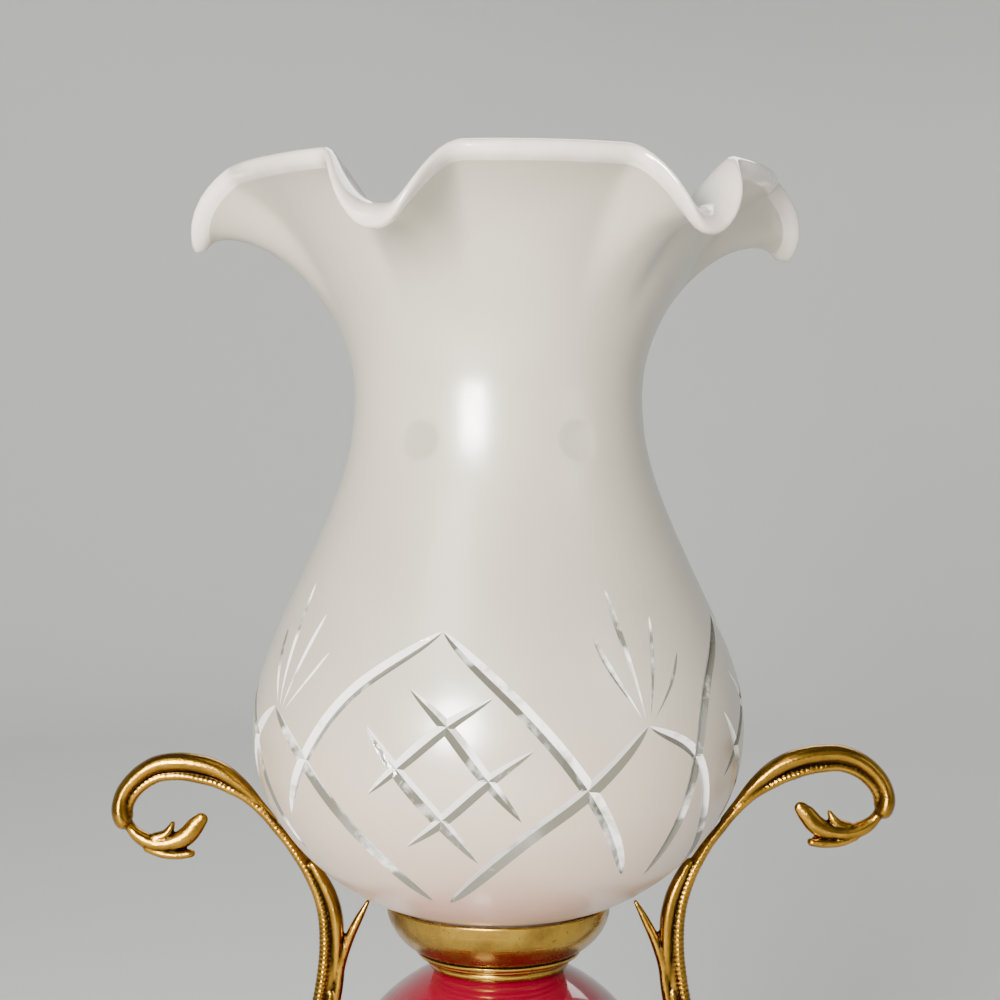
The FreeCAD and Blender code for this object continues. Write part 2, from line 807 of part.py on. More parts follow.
# Outside of the glass below the ruffle, as (radius, height above the neck's foot)
SHADE_WALL = (
    (24.6, 0.75), (24.6, 3.4), (25.2, 5.6), (28.0, 6.0), (33.0, 7.7), (38.8, 10.8), (45.0, 15.0),
    (51.0, 20.2), (56.6, 27.0), (60.8, 34.4), (63.4, 42.6), (64.3, 51.4), (63.7, 60.4),
    (61.3, 69.2), (57.8, 77.9), (54.0, 86.2), (50.1, 94.5), (46.3, 102.9), (43.0, 110.9),
    (40.2, 118.9), (38.4, 127.2), (37.6, 135.9), (37.9, 143.5), (39.4, 150.4), (42.3, 157.5),
)
# How the wall goes on at the crest of a ruffle, and where the rim rolls down between two
CREST = (
    (45.4, 163.0),
    (48.9, 169.2),
    (53.2, 175.6),
    (58.2, 182.0),
    (63.6, 186.9),
    (68.6, 190.6),
    (71.8, 192.3),
)
VALLEY = (
    (46.2, 163.3),
    (51.0, 168.8),
    (57.0, 173.8),
    (63.6, 177.4),
    (70.2, 178.9),
    (75.0, 178.3),
    (76.6, 175.6),
)
NOMINAL_BELLY = 64.0
NOMINAL_HEIGHT = 195.9
AROUND = 72
VALLEY_HALF_WIDTH = 15.0
FLARE = 3.0
# how much the fire-polished lip thickens over the last three points
LIP = (0.25, 1.1, 2.1)


def valley_weight(angle):
    """1 at the middle of a valley of the rim, 0 on the broad crest beside it."""
    spacing = 360.0 / RUFFLES
    away = abs((angle - RUFFLE_PHASE + 0.5 * spacing) % spacing - 0.5 * spacing)
    share = max(0.0, 1.0 - away / VALLEY_HALF_WIDTH)
    return share ** 3 * (10.0 - 15.0 * share + 6.0 * share * share)


def shade_outside(angle):
    weight = valley_weight(angle)
    rim = []
    for step, (crest, valley) in enumerate(zip(CREST, VALLEY), start=1):
        radius = crest[0] + (valley[0] - crest[0]) * weight
        height = crest[1] + (valley[1] - crest[1]) * weight
        stand_out = FLARE * 4.0 * weight * (1.0 - weight) * step / len(CREST)
        rim.append((radius + stand_out, height))
    return list(SHADE_WALL) + rim


def shade_loop(angle):
    """Closed section of the glass at one angle: up the outside and down the inside."""
    line = shade_outside(angle)
    wall = cell("shade_wall")
    extra = [0.0] * (len(line) - len(LIP)) + list(LIP)
    outside = []
    inside = []
    for index, (radius, height) in enumerate(line):
        before = line[max(index - 1, 0)]
        after = line[min(index + 1, len(line) - 1)]
        run = after[0] - before[0]
        rise = after[1] - before[1]
        length = math.hypot(run, rise)
        out = -0.4 * extra[index]
        into = wall + 0.6 * extra[index]
        outside.append((radius - out * rise / length, height + out * run / length))
        inside.append((radius - into * rise / length, height + into * run / length))
    tip = end_cap(outside[-1], inside[-1], line[-1], line[-2])
    foot = end_cap(outside[0], inside[0], line[0], line[1])
    return outside + [tip] + inside[::-1] + [foot]


def end_cap(one, other, end, inner):
    """Point that rounds off the end of the wall, past the middle of its edge."""
    reach = 0.5 * math.hypot(one[0] - other[0], one[1] - other[1])
    run = end[0] - inner[0]
    rise = end[1] - inner[1]
    length = math.hypot(run, rise)
    across = 0.5 * (one[0] + other[0]) + reach * run / length
    return (across, 0.5 * (one[1] + other[1]) + reach * rise / length)


def make_shade():
    across = cell("belly_radius") / NOMINAL_BELLY
    upward = cell("shade_height") / NOMINAL_HEIGHT
    foot = cell("shade_foot")
    grid = []
    for step in range(AROUND):
        angle = RUFFLE_PHASE + 360.0 * step / AROUND
        side = math.sin(math.radians(angle))
        front = -math.cos(math.radians(angle))
        loop = shade_loop(angle)
        grid.append(
            [vector(r * across * side, r * across * front, foot + up * upward) for r, up in loop]
        )
    around = list(range(len(grid) + 1))
    along = list(range(len(grid[0]) + 1))
    surface = Part.BSplineSurface()
    surface.buildFromPolesMultsKnots(
        grid, [1] * len(around), [1] * len(along), around, along, True, True, 3, 3
    )
    glass = Part.Solid(Part.Shell([Part.Face(surface)]))
    if glass.Volume < 0:
        glass.reverse()
    piece = doc.addObject("Part::Feature", "shade_glass")
    piece.Shape = glass
    as_node(piece, "shade")


# ----------------------------------------------------------------------- handles

# Middle line of a handle from the tang up, as (x, z, thickness over the nominal, and how
# far across and up the right one stands beyond this line and the left one short of it:
# the two castings were bent apart when they were fitted)
HANDLE_LINE = (
    (21.5, 91.6, 0.54, 0.0, 0.0), (27.5, 93.8, 0.70, 0.0, 0.0), (35.2, 101.5, 0.88, 0.0, 0.0),
    (42.4, 114.0, 0.92, 0.2, 0.0), (48.2, 129.0, 0.93, 0.4, 0.0), (51.3, 146.0, 0.93, 0.6, 0.0),
    (50.8, 161.0, 0.93, 0.7, 0.0), (48.1, 175.0, 0.95, 0.8, 0.0), (45.7, 187.0, 0.98, 0.85, 0.0),
    (44.7, 198.0, 0.98, 0.85, 0.0), (45.6, 208.0, 0.92, 0.8, 0.0), (49.0, 216.5, 0.72, 0.6, 0.1),
    (53.6, 223.3, 0.54, 0.3, 0.1), (58.5, 229.2, 0.50, 0.1, 0.0), (63.5, 235.1, 0.62, 0.1, 0.1),
    (68.4, 239.7, 0.92, 0.1, 0.3), (73.9, 243.3, 1.09, 0.1, 0.5), (79.4, 245.2, 1.08, 0.1, 0.8),
    (84.5, 246.0, 1.04, 0.1, 1.0), (89.9, 245.7, 0.98, 0.2, 1.4), (95.0, 243.2, 0.93, 0.7, 1.6),
    (98.9, 239.0, 0.90, 1.1, 1.5), (99.9, 234.4, 0.86, 1.3, 1.4), (97.6, 229.6, 0.82, 1.3, 1.4),
    (93.6, 227.0, 0.84, 1.2, 1.5), (89.2, 226.2, 0.75, 0.9, 1.5), (85.0, 226.8, 0.70, 0.7, 1.5),
)
# Thorn, leaf, strap and bud of a handle: (root x, z, tip x, z, root thickness, the place in
# HANDLE_LINE that each moves with)
HANDLE_SPIKES = (
    (44.4, 193.0, 35.4, 209.2, 0.55, 9),
    (88.0, 226.5, 77.6, 232.9, 0.80, 26),
    (90.5, 225.2, 81.2, 223.3, 0.50, 26),
    (88.2, 227.2, 86.6, 231.2, 0.50, 26),
)
NOMINAL_REACH = 99.9


def make_handle(name, side):
    scale = cell("handle_reach") / NOMINAL_REACH
    thick = cell("handle_radius")
    points = [
        vector((x + side * across) * scale, 0, z + side * up)
        for x, z, size, across, up in HANDLE_LINE
    ]
    line = Part.BSplineCurve()
    line.interpolate(points)
    rings = []
    for point, (x, z, size, across, up) in zip(points, HANDLE_LINE):
        tangent = line.tangent(line.parameter(point))[0]
        rings.append(Part.Wire(Part.makeCircle(thick * size, point, tangent)))
    bar = Part.makeLoft(rings, True, False)
    pieces = [Part.makeSphere(thick * HANDLE_LINE[-1][2], points[-1])]
    for root_x, root_z, tip_x, tip_z, size, place in HANDLE_SPIKES:
        across, up = HANDLE_LINE[place][3:]
        root = vector((root_x + side * across) * scale, 0, root_z + side * up)
        way = vector((tip_x - root_x) * scale, 0, tip_z - root_z)
        pieces.append(Part.makeCone(thick * size, 0.6, way.Length, root, way))
    pieces.append(handle_tang())
    shape = bar.multiFuse(pieces).removeSplitter()
    if side < 0:
        shape = shape.mirror(vector(0, 0, 0), vector(1, 0, 0))
    piece = doc.addObject("Part::Feature", name + "_casting")
    piece.Shape = shape
    as_node(piece, name)


def handle_tang():
    """Flat end of a handle, drilled for its screw."""
    foot = cell("tang_top")
    pad = Part.makeBox(12.0, 8.0, 3.5, vector(11.6, -4.0, foot))
    hole = Part.makeCylinder(1.5, 6.0, vector(17.0, 0, foot - 1.0))
    return pad.cut(hole)


# ------------------------------------------------------------------------- build


def check(piece):
    bad = {"Invalid", "Error"} & set(piece.State)
    if bad:
        raise ValueError(f"{piece.Name} is {bad}")


def export_all():
    os.makedirs("parts", exist_ok=True)
    for item in doc.Objects:
        check(item)
    for piece in NODES:
        shape = piece.Shape
        if shape.isNull() or not shape.isValid() or not shape.Solids:
            raise ValueError(f"{piece.Label} has no valid solid")
        shape.exportStep(f"parts/{piece.Label}.step")
        box = shape.BoundBox
        print(
            f"{piece.Label:16s} solids {len(shape.Solids)} volume {shape.Volume:10.1f}"
            f"  z {box.ZMin:7.2f} to {box.ZMax:7.2f}  x {box.XMin:7.2f} to {box.XMax:7.2f}"
        )


make_pedestal()
make_cradle()
make_cement()
make_font()
make_collar()
make_gasket()
make_gallery()
make_shaft_bush()
make_seat()
make_barrel()
make_wick_tube()
make_vent_tube()
make_diffuser()
make_cone()
make_wick()
make_wick_raiser()
make_shade()
make_handle("handle_right", 1)
make_handle("handle_left", -1)
doc.recompute()
export_all()
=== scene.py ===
import math
import random
from contextlib import contextmanager

import bmesh
import bpy
import numpy as np
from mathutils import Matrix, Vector, geometry


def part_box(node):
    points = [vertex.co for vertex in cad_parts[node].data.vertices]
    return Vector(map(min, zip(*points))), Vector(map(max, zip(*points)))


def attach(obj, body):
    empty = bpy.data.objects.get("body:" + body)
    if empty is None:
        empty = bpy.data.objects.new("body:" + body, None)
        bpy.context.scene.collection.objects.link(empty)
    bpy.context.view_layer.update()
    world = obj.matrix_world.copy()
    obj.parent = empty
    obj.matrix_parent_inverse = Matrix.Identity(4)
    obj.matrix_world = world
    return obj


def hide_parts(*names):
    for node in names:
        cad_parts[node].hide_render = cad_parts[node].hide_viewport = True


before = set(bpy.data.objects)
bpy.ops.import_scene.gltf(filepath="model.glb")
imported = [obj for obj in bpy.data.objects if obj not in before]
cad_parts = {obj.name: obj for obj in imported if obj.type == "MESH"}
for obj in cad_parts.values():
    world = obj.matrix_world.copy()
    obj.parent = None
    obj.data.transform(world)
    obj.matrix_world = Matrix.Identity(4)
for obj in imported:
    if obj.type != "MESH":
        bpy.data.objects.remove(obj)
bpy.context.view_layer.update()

MM = 0.001
SEED = 7
MATERIALS = {}


def low(node):
    """A node's lowest corner at rest, in millimetres."""
    return [round(c / MM, 3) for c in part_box(node)[0]]


def high(node):
    """A node's highest corner at rest, in millimetres."""
    return [round(c / MM, 3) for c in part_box(node)[1]]


# ---- node helpers


class Shader:
    """A material with one Principled shader and short ways to feed it, kept in MATERIALS."""

    def __init__(self, name, **values):
        material = MATERIALS[name] = bpy.data.materials.new(name)
        material.use_nodes = True
        self.nodes = material.node_tree.nodes
        self.links = material.node_tree.links
        self.main = self.nodes["Principled BSDF"]
        for socket, value in values.items():
            self.main.inputs[socket.replace("_", " ")].default_value = value

    def node(self, kind, **values):
        made = self.nodes.new("ShaderNode" + kind)
        for key, value in values.items():
            if hasattr(made, key):
                setattr(made, key, value)
            else:
                made.inputs[key.replace("_", " ")].default_value = value
        return made

    def link(self, source, target):
        self.links.new(source, target)
        return target

    def place(self, scale=(1, 1, 1)):
        """Object coordinates, in metres, stretched by scale."""
        coords = self.node("TexCoord")
        mapping = self.node("Mapping", Scale=scale)
        self.link(coords.outputs["Object"], mapping.inputs["Vector"])
        return mapping.outputs["Vector"]

    def noise(self, scale, detail=4.0, roughness=0.5, stretch=(1, 1, 1)):
        made = self.node("TexNoise", Scale=scale, Detail=detail, Roughness=roughness)
        self.link(self.place(stretch), made.inputs["Vector"])
        return made.outputs["Fac"]

    def remap(self, source, low_in, high_in, low_out=0.0, high_out=1.0):
        made = self.node("MapRange", From_Min=low_in, From_Max=high_in, To_Min=low_out, To_Max=high_out)
        self.link(source, made.inputs["Value"])
        return made.outputs["Result"]

    def math(self, operation, one, other):
        made = self.node("Math", operation=operation)
        for index, value in enumerate((one, other)):
            if isinstance(value, (int, float)):
                made.inputs[index].default_value = value
            else:
                self.link(value, made.inputs[index])
        return made.outputs["Value"]

    def mix(self, factor, one, other, blend="MIX"):
        made = self.node("Mix", data_type="RGBA", blend_type=blend)
        self.link(factor, made.inputs["Factor"])
        for name, value in (("A", one), ("B", other)):
            socket = next(i for i in made.inputs if i.name == name and i.type == "RGBA")
            if isinstance(value, tuple):
                socket.default_value = (*value, 1.0)
            else:
                self.link(value, socket)
        return next(o for o in made.outputs if o.type == "RGBA")

    def attribute(self, name):
        made = self.node("Attribute")
        made.attribute_name = name
        return made.outputs["Fac"]

    def bump(self, height, strength, distance):
        made = self.node("Bump", Strength=strength, Distance=distance)
        self.link(height, made.inputs["Height"])
        self.link(made.outputs["Normal"], self.main.inputs["Normal"])

    def feed(self, socket, source):
        self.link(source, self.main.inputs[socket])


# ---- materials


def brass(name, bright, dark, spun=False, hollow_patina_and_shade=True, rough=(0.2, 0.42)):
    """Antique brass: random blotches, small dark spots, and hollows darkened by real patina together with
    painted shade.
    """
    s = Shader(name, Metallic=1.0)
    blotch = s.remap(s.noise(95.0, 6.0, 0.62), 0.42, 0.66)
    spots = s.remap(s.noise(900.0, 2.0, 0.5), 0.66, 0.74)
    middle = tuple(0.5 * (a + b) for a, b in zip(bright, dark))
    colour = s.mix(blotch, bright, middle)
    if hollow_patina_and_shade:
        # Hollows turn towards the dark colour: partly real patina, partly painted shade where recesses
        # would fall dark.
        hollow = s.remap(s.attribute("hollow"), 0.44, 0.58)
        colour = s.mix(hollow, colour, dark)
    colour = s.mix(s.math("MULTIPLY", spots, 0.75), colour, dark)
    s.feed("Base Color", colour)
    s.feed("Roughness", s.remap(blotch, 0.0, 1.0, *rough))
    if spun:
        lines = s.noise(2600.0, 2.0, 0.4, stretch=(0.02, 0.02, 1.0))
        s.bump(lines, 0.22, 0.0002)
    else:
        s.bump(s.noise(1500.0, 4.0, 0.6), 0.25, 0.0003)


def frosted_glass():
    """Sand-blasted glass with a painted pink reflection of the red font towards the foot, polished in the
    round dimples.
    """
    s = Shader(
        "frosted_glass", IOR=1.5, Transmission_Weight=0.12, Specular_IOR_Level=1.0,
        Coat_Weight=0.7, Coat_Roughness=0.42,
    )
    cloud = s.remap(s.noise(14.0, 3.0, 0.5), 0.35, 0.65)
    colour = s.mix(cloud, (0.39, 0.356, 0.285), (0.44, 0.406, 0.33))
    split = s.node("SeparateXYZ")
    s.link(s.place(), split.inputs["Vector"])
    # Painted reflection: the lowest part of the glass is tinted pink where the red font would reflect in
    # it.
    painted_red_reflection = s.remap(split.outputs["Z"], 0.275, 0.205, 0.0, 0.8)
    colour = s.mix(painted_red_reflection, colour, (0.48, 0.305, 0.225))
    polish = s.attribute("polish")
    s.feed("Base Color", s.mix(polish, colour, (0.335, 0.33, 0.255)))
    grain = s.remap(s.noise(260.0, 4.0, 0.6), 0.3, 0.7, 0.21, 0.27)
    s.feed("Roughness", s.math("MULTIPLY", grain, s.remap(polish, 0.0, 1.0, 1.0, 0.35)))
    s.bump(s.noise(1200.0, 2.0, 0.5), 0.04, 0.0001)


def cut_glass():
    """Polished grooves with painted light: each facet painted bright or dark by its lean, with painted
    streaks of refraction.
    """
    s = Shader("cut_glass", IOR=1.52, Transmission_Weight=0.3, Specular_IOR_Level=1.0)
    painted_refraction_streak = s.remap(s.noise(75.0, 3.0, 0.5), 0.36, 0.64, -0.28, 0.28)
    fine = s.remap(s.noise(420.0, 2.0, 0.5), 0.36, 0.64, -0.07, 0.07)
    # Painted light: the stored facet lean and the streak noise pick between a dark and a bright glass
    # colour.
    light = s.math("ADD", s.attribute("facet"), s.math("ADD", painted_refraction_streak, fine))
    light = s.remap(light, 0.30, 0.66)
    s.feed("Base Color", s.mix(light, (0.13, 0.126, 0.10), (1.0, 0.99, 0.95)))
    s.feed("Roughness", s.remap(light, 0.0, 1.0, 0.10, 0.04))
    s.bump(s.noise(500.0, 3.0, 0.5), 0.25, 0.0005)


def inner_glass():
    s = Shader("inner_glass", IOR=1.5, Transmission_Weight=0.3)
    cloud = s.remap(s.noise(40.0, 3.0, 0.5), 0.35, 0.65)
    s.feed("Base Color", s.mix(cloud, (0.60, 0.58, 0.53), (0.68, 0.66, 0.61)))
    s.feed("Roughness", s.remap(cloud, 0.0, 1.0, 0.16, 0.24))


def polished_rim():
    """Fire-polished lip, glossy and faintly pink."""
    s = Shader(
        "polished_rim", IOR=1.5, Transmission_Weight=0.12, Coat_Weight=1.0, Coat_Roughness=0.05
    )
    cloud = s.remap(s.noise(90.0, 4.0, 0.55), 0.35, 0.65)
    s.feed("Base Color", s.mix(cloud, (0.60, 0.53, 0.47), (0.70, 0.64, 0.58)))
    s.feed("Roughness", s.remap(cloud, 0.0, 1.0, 0.10, 0.2))


def red_glass():
    s = Shader("red_glass", Metallic=0.0, IOR=1.45, Coat_Weight=0.5, Coat_Roughness=0.03)
    cloud = s.remap(s.noise(30.0, 3.0, 0.5), 0.3, 0.7)
    s.feed("Base Color", s.mix(cloud, (0.115, 0.0003, 0.010), (0.16, 0.0006, 0.014)))
    s.feed("Roughness", s.remap(s.noise(300.0, 3.0, 0.5), 0.3, 0.7, 0.06, 0.12))
    s.bump(s.noise(60.0, 2.0, 0.5), 0.03, 0.0006)


def grainy(name, noise, dark, light, rough=None, bump=None, **values):
    """A plain finish: one noise drives the colour, and the roughness and bumps if given."""
    s = Shader(name, **values)
    grain = s.noise(*noise)
    s.feed("Base Color", s.mix(grain, dark, light))
    if rough:
        s.feed("Roughness", s.remap(grain, 0.3, 0.7, *rough))
    if bump:
        s.bump(grain, *bump)


def cork():
    s = Shader("cork", Roughness=0.85)
    cells = s.node("TexVoronoi", Scale=900.0)
    s.link(s.place(), cells.inputs["Vector"])
    s.feed("Base Color", s.mix(cells.outputs["Distance"], (0.36, 0.21, 0.10), (0.16, 0.08, 0.04)))
    s.bump(cells.outputs["Distance"], 0.5, 0.0003)


def cotton():
    """Woven wick: cross threads by two waves, scorched brown at its top."""
    s = Shader("cotton_wick", Roughness=0.95)
    weft = s.node("TexWave", Scale=420.0, Distortion=0.6)
    weft.bands_direction = "Z"
    warp = s.node("TexWave", Scale=380.0, Distortion=0.5)
    warp.bands_direction = "Y"
    for wave in (weft, warp):
        s.link(s.place(), wave.inputs["Vector"])
    weave = s.math("MULTIPLY", weft.outputs["Fac"], warp.outputs["Fac"])
    scorch = s.remap(s.attribute("scorch"), 0.0, 1.0)
    clean = s.mix(weave, (0.52, 0.47, 0.36), (0.80, 0.76, 0.66))
    s.feed("Base Color", s.mix(scorch, clean, (0.02, 0.014, 0.01)))
    s.bump(weave, 0.8, 0.0004)


GOLD = (0.43, 0.265, 0.045)
BROWN = (0.045, 0.020, 0.006)
brass("antique_brass", GOLD, BROWN, spun=True)
# Near-black dark colour: the handles' hollows get painted shade on top of their patina.
brass("cast_brass", (0.37, 0.195, 0.024), (0.010, 0.005, 0.002), rough=(0.15, 0.26))
brass("burner_brass", (0.70, 0.50, 0.22), (0.12, 0.07, 0.03), hollow_patina_and_shade=False)
frosted_glass()
cut_glass()
polished_rim()
inner_glass()
red_glass()
grainy("steel", (900.0, 3.0, 0.6), (0.32, 0.32, 0.33), (0.55, 0.54, 0.52), rough=(0.28, 0.5), Metallic=1.0)
grainy("cast_iron", (700.0, 6.0, 0.7), (0.03, 0.03, 0.032), (0.09, 0.075, 0.065),
       rough=(0.55, 0.8), bump=(0.6, 0.0006), Metallic=0.6)
grainy("green_felt", (1800.0, 6.0, 0.75), (0.012, 0.05, 0.022), (0.05, 0.14, 0.07),
       bump=(0.8, 0.0008), Roughness=0.95)
grainy("plaster", (500.0, 6.0, 0.7), (0.55, 0.52, 0.45), (0.72, 0.69, 0.62),
       bump=(0.5, 0.0004), Roughness=0.9)
cork()
cotton()


# ---- mesh helpers


def add_object(name, data):
    made = bpy.data.objects.new(name, data)
    bpy.context.scene.collection.objects.link(made)
    return made


def new_object(name, points, faces, body, slot, nodes, materials=None):
    """A mesh from millimetre points, riding on a body and standing for CAD nodes."""
    mesh = bpy.data.meshes.new(name)
    mesh.from_pydata([tuple(MM * c for c in p) for p in points], [], faces)
    mesh.validate()
    piece = add_object(name, mesh)
    for material in materials or [slot]:
        mesh.materials.append(MATERIALS[material])
    mesh.polygons.foreach_set("use_smooth", [True] * len(mesh.polygons))
    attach(piece, body)
    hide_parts(*nodes)
    return piece


def apply_modifiers(piece):
    graph = bpy.context.evaluated_depsgraph_get()
    mesh = bpy.data.meshes.new_from_object(piece.evaluated_get(graph))
    old = piece.data
    piece.modifiers.clear()
    piece.data = mesh
    mesh.name = old.name
    bpy.data.meshes.remove(old)


@contextmanager
def editing(mesh):
    work = bmesh.new()
    work.from_mesh(mesh)
    yield work
    work.to_mesh(mesh)
    work.free()


def face_outwards(mesh):
    with editing(mesh) as work:
        bmesh.ops.recalc_face_normals(work, faces=work.faces)


def read(collection, name, width, kind=float):
    values = np.empty(len(collection) * width, dtype=kind)
    collection.foreach_get(name, values)
    return values.reshape(-1, width)


def mark_hollows(piece, passes=2):
    """Stores how hollow the surface is at each vertex: 0.5 flat, more in grooves."""
    mesh = piece.data
    count = len(mesh.vertices)
    place = read(mesh.vertices, "co", 3)
    normal = read(mesh.vertices, "normal", 3)
    one, other = read(mesh.edges, "vertices", 2, np.int64).T
    way = place[other] - place[one]
    way /= np.maximum(np.linalg.norm(way, axis=1), 1e-9)[:, None]
    total = np.zeros(count)
    number = np.zeros(count)
    np.add.at(total, one, (way * normal[one]).sum(1))
    np.add.at(total, other, -(way * normal[other]).sum(1))
    np.add.at(number, one, 1)
    np.add.at(number, other, 1)
    hollow = total / np.maximum(number, 1)
    for _ in range(passes):
        spread = np.zeros(count)
        np.add.at(spread, one, hollow[other])
        np.add.at(spread, other, hollow[one])
        hollow = 0.5 * hollow + 0.5 * spread / np.maximum(number, 1)
    store = mesh.attributes.new("hollow", "FLOAT", "POINT")
    store.data.foreach_set("value", np.clip(0.5 + hollow * 1.2, 0, 1).astype(np.float32))


def arc_points(start, middle, end, count):
    """Points on the circle through three points, from start to end."""
    a, b, c = (complex(*p) for p in (start, middle, end))
    ratio = (c - a) / (b - a)
    centre = (b - a) * (ratio - abs(ratio) ** 2) / (2j * ratio.imag) + a
    first, way, last = (math.atan2((p - centre).imag, (p - centre).real) for p in (a, b, c))
    sweep = (last - first) % (2 * math.pi)
    if (way - first) % (2 * math.pi) > sweep:
        sweep -= 2 * math.pi
    turns = (first + sweep * step / count for step in range(1, count + 1))
    return [
        (centre.real + abs(a - centre) * math.cos(t), centre.imag + abs(a - centre) * math.sin(t))
        for t in turns
    ]


def trace(outline, arc_steps):
    """A closed outline from corners, or pairs (a point on the arc, the corner it ends at)."""
    ends = [step[1] if isinstance(step[0], tuple) else step for step in outline]
    points = []
    for index, step in enumerate(outline):
        if isinstance(step[0], tuple):
            points += arc_points(ends[index - 1], step[0], ends[index], arc_steps)
        else:
            points.append(ends[index])
    return points


def turned(name, node, outline, body="base", slot="antique_brass", steps=144, soften=0.25, arc_steps=12):
    """A lathe-turned piece: a closed outline of (radius, height above the node's foot)."""
    foot = low(node)[2]
    profile = [(r, foot + rise) for r, rise in trace(outline, arc_steps)]
    count = len(profile)
    points = []
    for step in range(steps):
        angle = 2 * math.pi * step / steps
        points += [(r * math.cos(angle), r * math.sin(angle), z) for r, z in profile]
    faces = []
    for step in range(steps):
        here = step * count
        there = ((step + 1) % steps) * count
        for index in range(count):
            following = (index + 1) % count
            if profile[index][0] > 1e-6 or profile[following][0] > 1e-6:
                faces.append((here + index, there + index, there + following, here + following))
    piece = new_object(name, points, faces, body, slot, [node])
    with editing(piece.data) as work:
        bmesh.ops.remove_doubles(work, verts=work.verts, dist=1e-7)
        bmesh.ops.recalc_face_normals(work, faces=work.faces)
    bevel = piece.modifiers.new("soft_edges", "BEVEL")
    bevel.width = soften * MM
    bevel.segments = 2
    bevel.angle_limit = math.radians(24)
    apply_modifiers(piece)
    mark_hollows(piece)
    return piece


def lengths_along(line):
    """Distance along a line of points, from its first point to each of them."""
    return np.concatenate([[0], np.cumsum(np.linalg.norm(np.diff(line, axis=0), axis=1))])


def directions(line):
    """Unit vectors along a plane line and to its left, at each point."""
    way = np.gradient(line, axis=0)
    way /= np.linalg.norm(way, axis=1)[:, None]
    return way, np.stack([-way[:, 1], way[:, 0]], 1)


def give(node, material):
    """A CAD node that keeps its shape takes a better material."""
    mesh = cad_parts[node].data
    mesh.materials.clear()
    mesh.materials.append(MATERIALS[material])


# ---- glass

# The glass stands just clear of its seat
SHADE_FOOT = high("shade_seat")[2] + 0.1
SHADE_THICKNESS = 2.4
# Control points of the outside: (radius, height above the foot of the glass)
SHADE_WALL = (
    (24.6, 0.75), (24.6, 3.4), (25.2, 5.6), (28, 6), (33, 7.7), (38.8, 10.8), (45, 15),
    (51, 20.2), (56.6, 27), (60.8, 34.4), (63.4, 42.6), (64.3, 51.4), (63.7, 60.4),
    (61.3, 69.2), (57.8, 77.9), (54, 86.2), (50.1, 94.5), (46.3, 102.9), (43, 110.9),
    (40.2, 118.9), (38.4, 127.2), (37.6, 135.9), (37.9, 143.5), (39.4, 150.4), (42.3, 157.5),
)
CREST = (
    (45.4, 163), (48.9, 169.2), (53.2, 175.6), (58.2, 182), (63.6, 186.9), (68.6, 190.6),
    (71.8, 192.3),
)
VALLEY = (
    (46.2, 163.3), (51, 168.8), (57, 173.8), (63.6, 177.4), (70.2, 178.9), (75, 178.3),
    (76.6, 175.6),
)
# The rim rolls out from crest to valley and back, six times round, from this angle on
RUFFLES = 6
RUFFLE_PHASE = -21.0
VALLEY_HALF_WIDTH = 15.0
FLARE = 3.0
# Extra thickness of the fire-polished lip at its last three points
LIP = (0.4, 1.5, 2.8)


def valley_weight(angle):
    """1 at the middle of a valley of the rim, 0 on the broad crest beside it."""
    spacing = 360.0 / RUFFLES
    away = abs((angle - RUFFLE_PHASE + 0.5 * spacing) % spacing - 0.5 * spacing)
    share = max(0.0, 1.0 - away / VALLEY_HALF_WIDTH)
    return share ** 3 * (10.0 - 15.0 * share + 6.0 * share * share)


def shade_outside(angle):
    weight = valley_weight(angle)
    rim = []
    for step, (crest, valley) in enumerate(zip(CREST, VALLEY), start=1):
        radius = crest[0] + (valley[0] - crest[0]) * weight
        height = crest[1] + (valley[1] - crest[1]) * weight
        stand_out = FLARE * 4.0 * weight * (1.0 - weight) * (step / len(CREST)) ** 2
        rim.append((radius + stand_out, height))
    return list(SHADE_WALL) + rim


def shade_loop(angle):
    """Control points of the closed section of the glass: up the outside, down the inside."""
    line = np.array(shade_outside(angle))
    way = np.empty_like(line)
    way[1:-1] = line[2:] - line[:-2]
    way[0] = line[1] - line[0]
    way[-1] = line[-1] - line[-2]
    way /= np.linalg.norm(way, axis=1)[:, None]
    side = np.stack([-way[:, 1], way[:, 0]], 1)
    extra = np.zeros((len(line), 1))
    extra[-3:, 0] = LIP
    outside = line - 0.4 * extra * side
    inside = line + (SHADE_THICKNESS + 0.6 * extra) * side
    tip = 0.5 * (outside[-1] + inside[-1]) + 0.5 * (SHADE_THICKNESS + LIP[-1]) * way[-1]
    foot = 0.5 * (outside[0] + inside[0]) - 0.5 * SHADE_THICKNESS * way[0]
    return np.vstack([outside, tip, inside[::-1], foot])


def spline(control, places):
    """Points of the closed uniform cubic B-spline of some control points."""
    count = len(control)
    start = np.floor(places).astype(int)
    t = (places - start)[:, None]
    parts = (
        ((1 - t) ** 3, -1),
        (3 * t ** 3 - 6 * t ** 2 + 4, 0),
        (-3 * t ** 3 + 3 * t ** 2 + 3 * t + 1, 1),
        (t ** 3, 2),
    )
    return sum(weight * control[(start + shift) % count] for weight, shift in parts) / 6.0


# Places count control points round the section; the plain wall lies between these two
LOOP_LENGTH = 2 * (len(SHADE_WALL) + len(CREST)) + 2
WALL_PLACES = np.linspace(1.0, 21.5, 1200)
WALL_LINE = spline(shade_loop(0.0), WALL_PLACES)
WALL_RUN = lengths_along(WALL_LINE)


def run_at_height(height):
    return float(np.interp(height - SHADE_FOOT, WALL_LINE[:, 1], WALL_RUN))


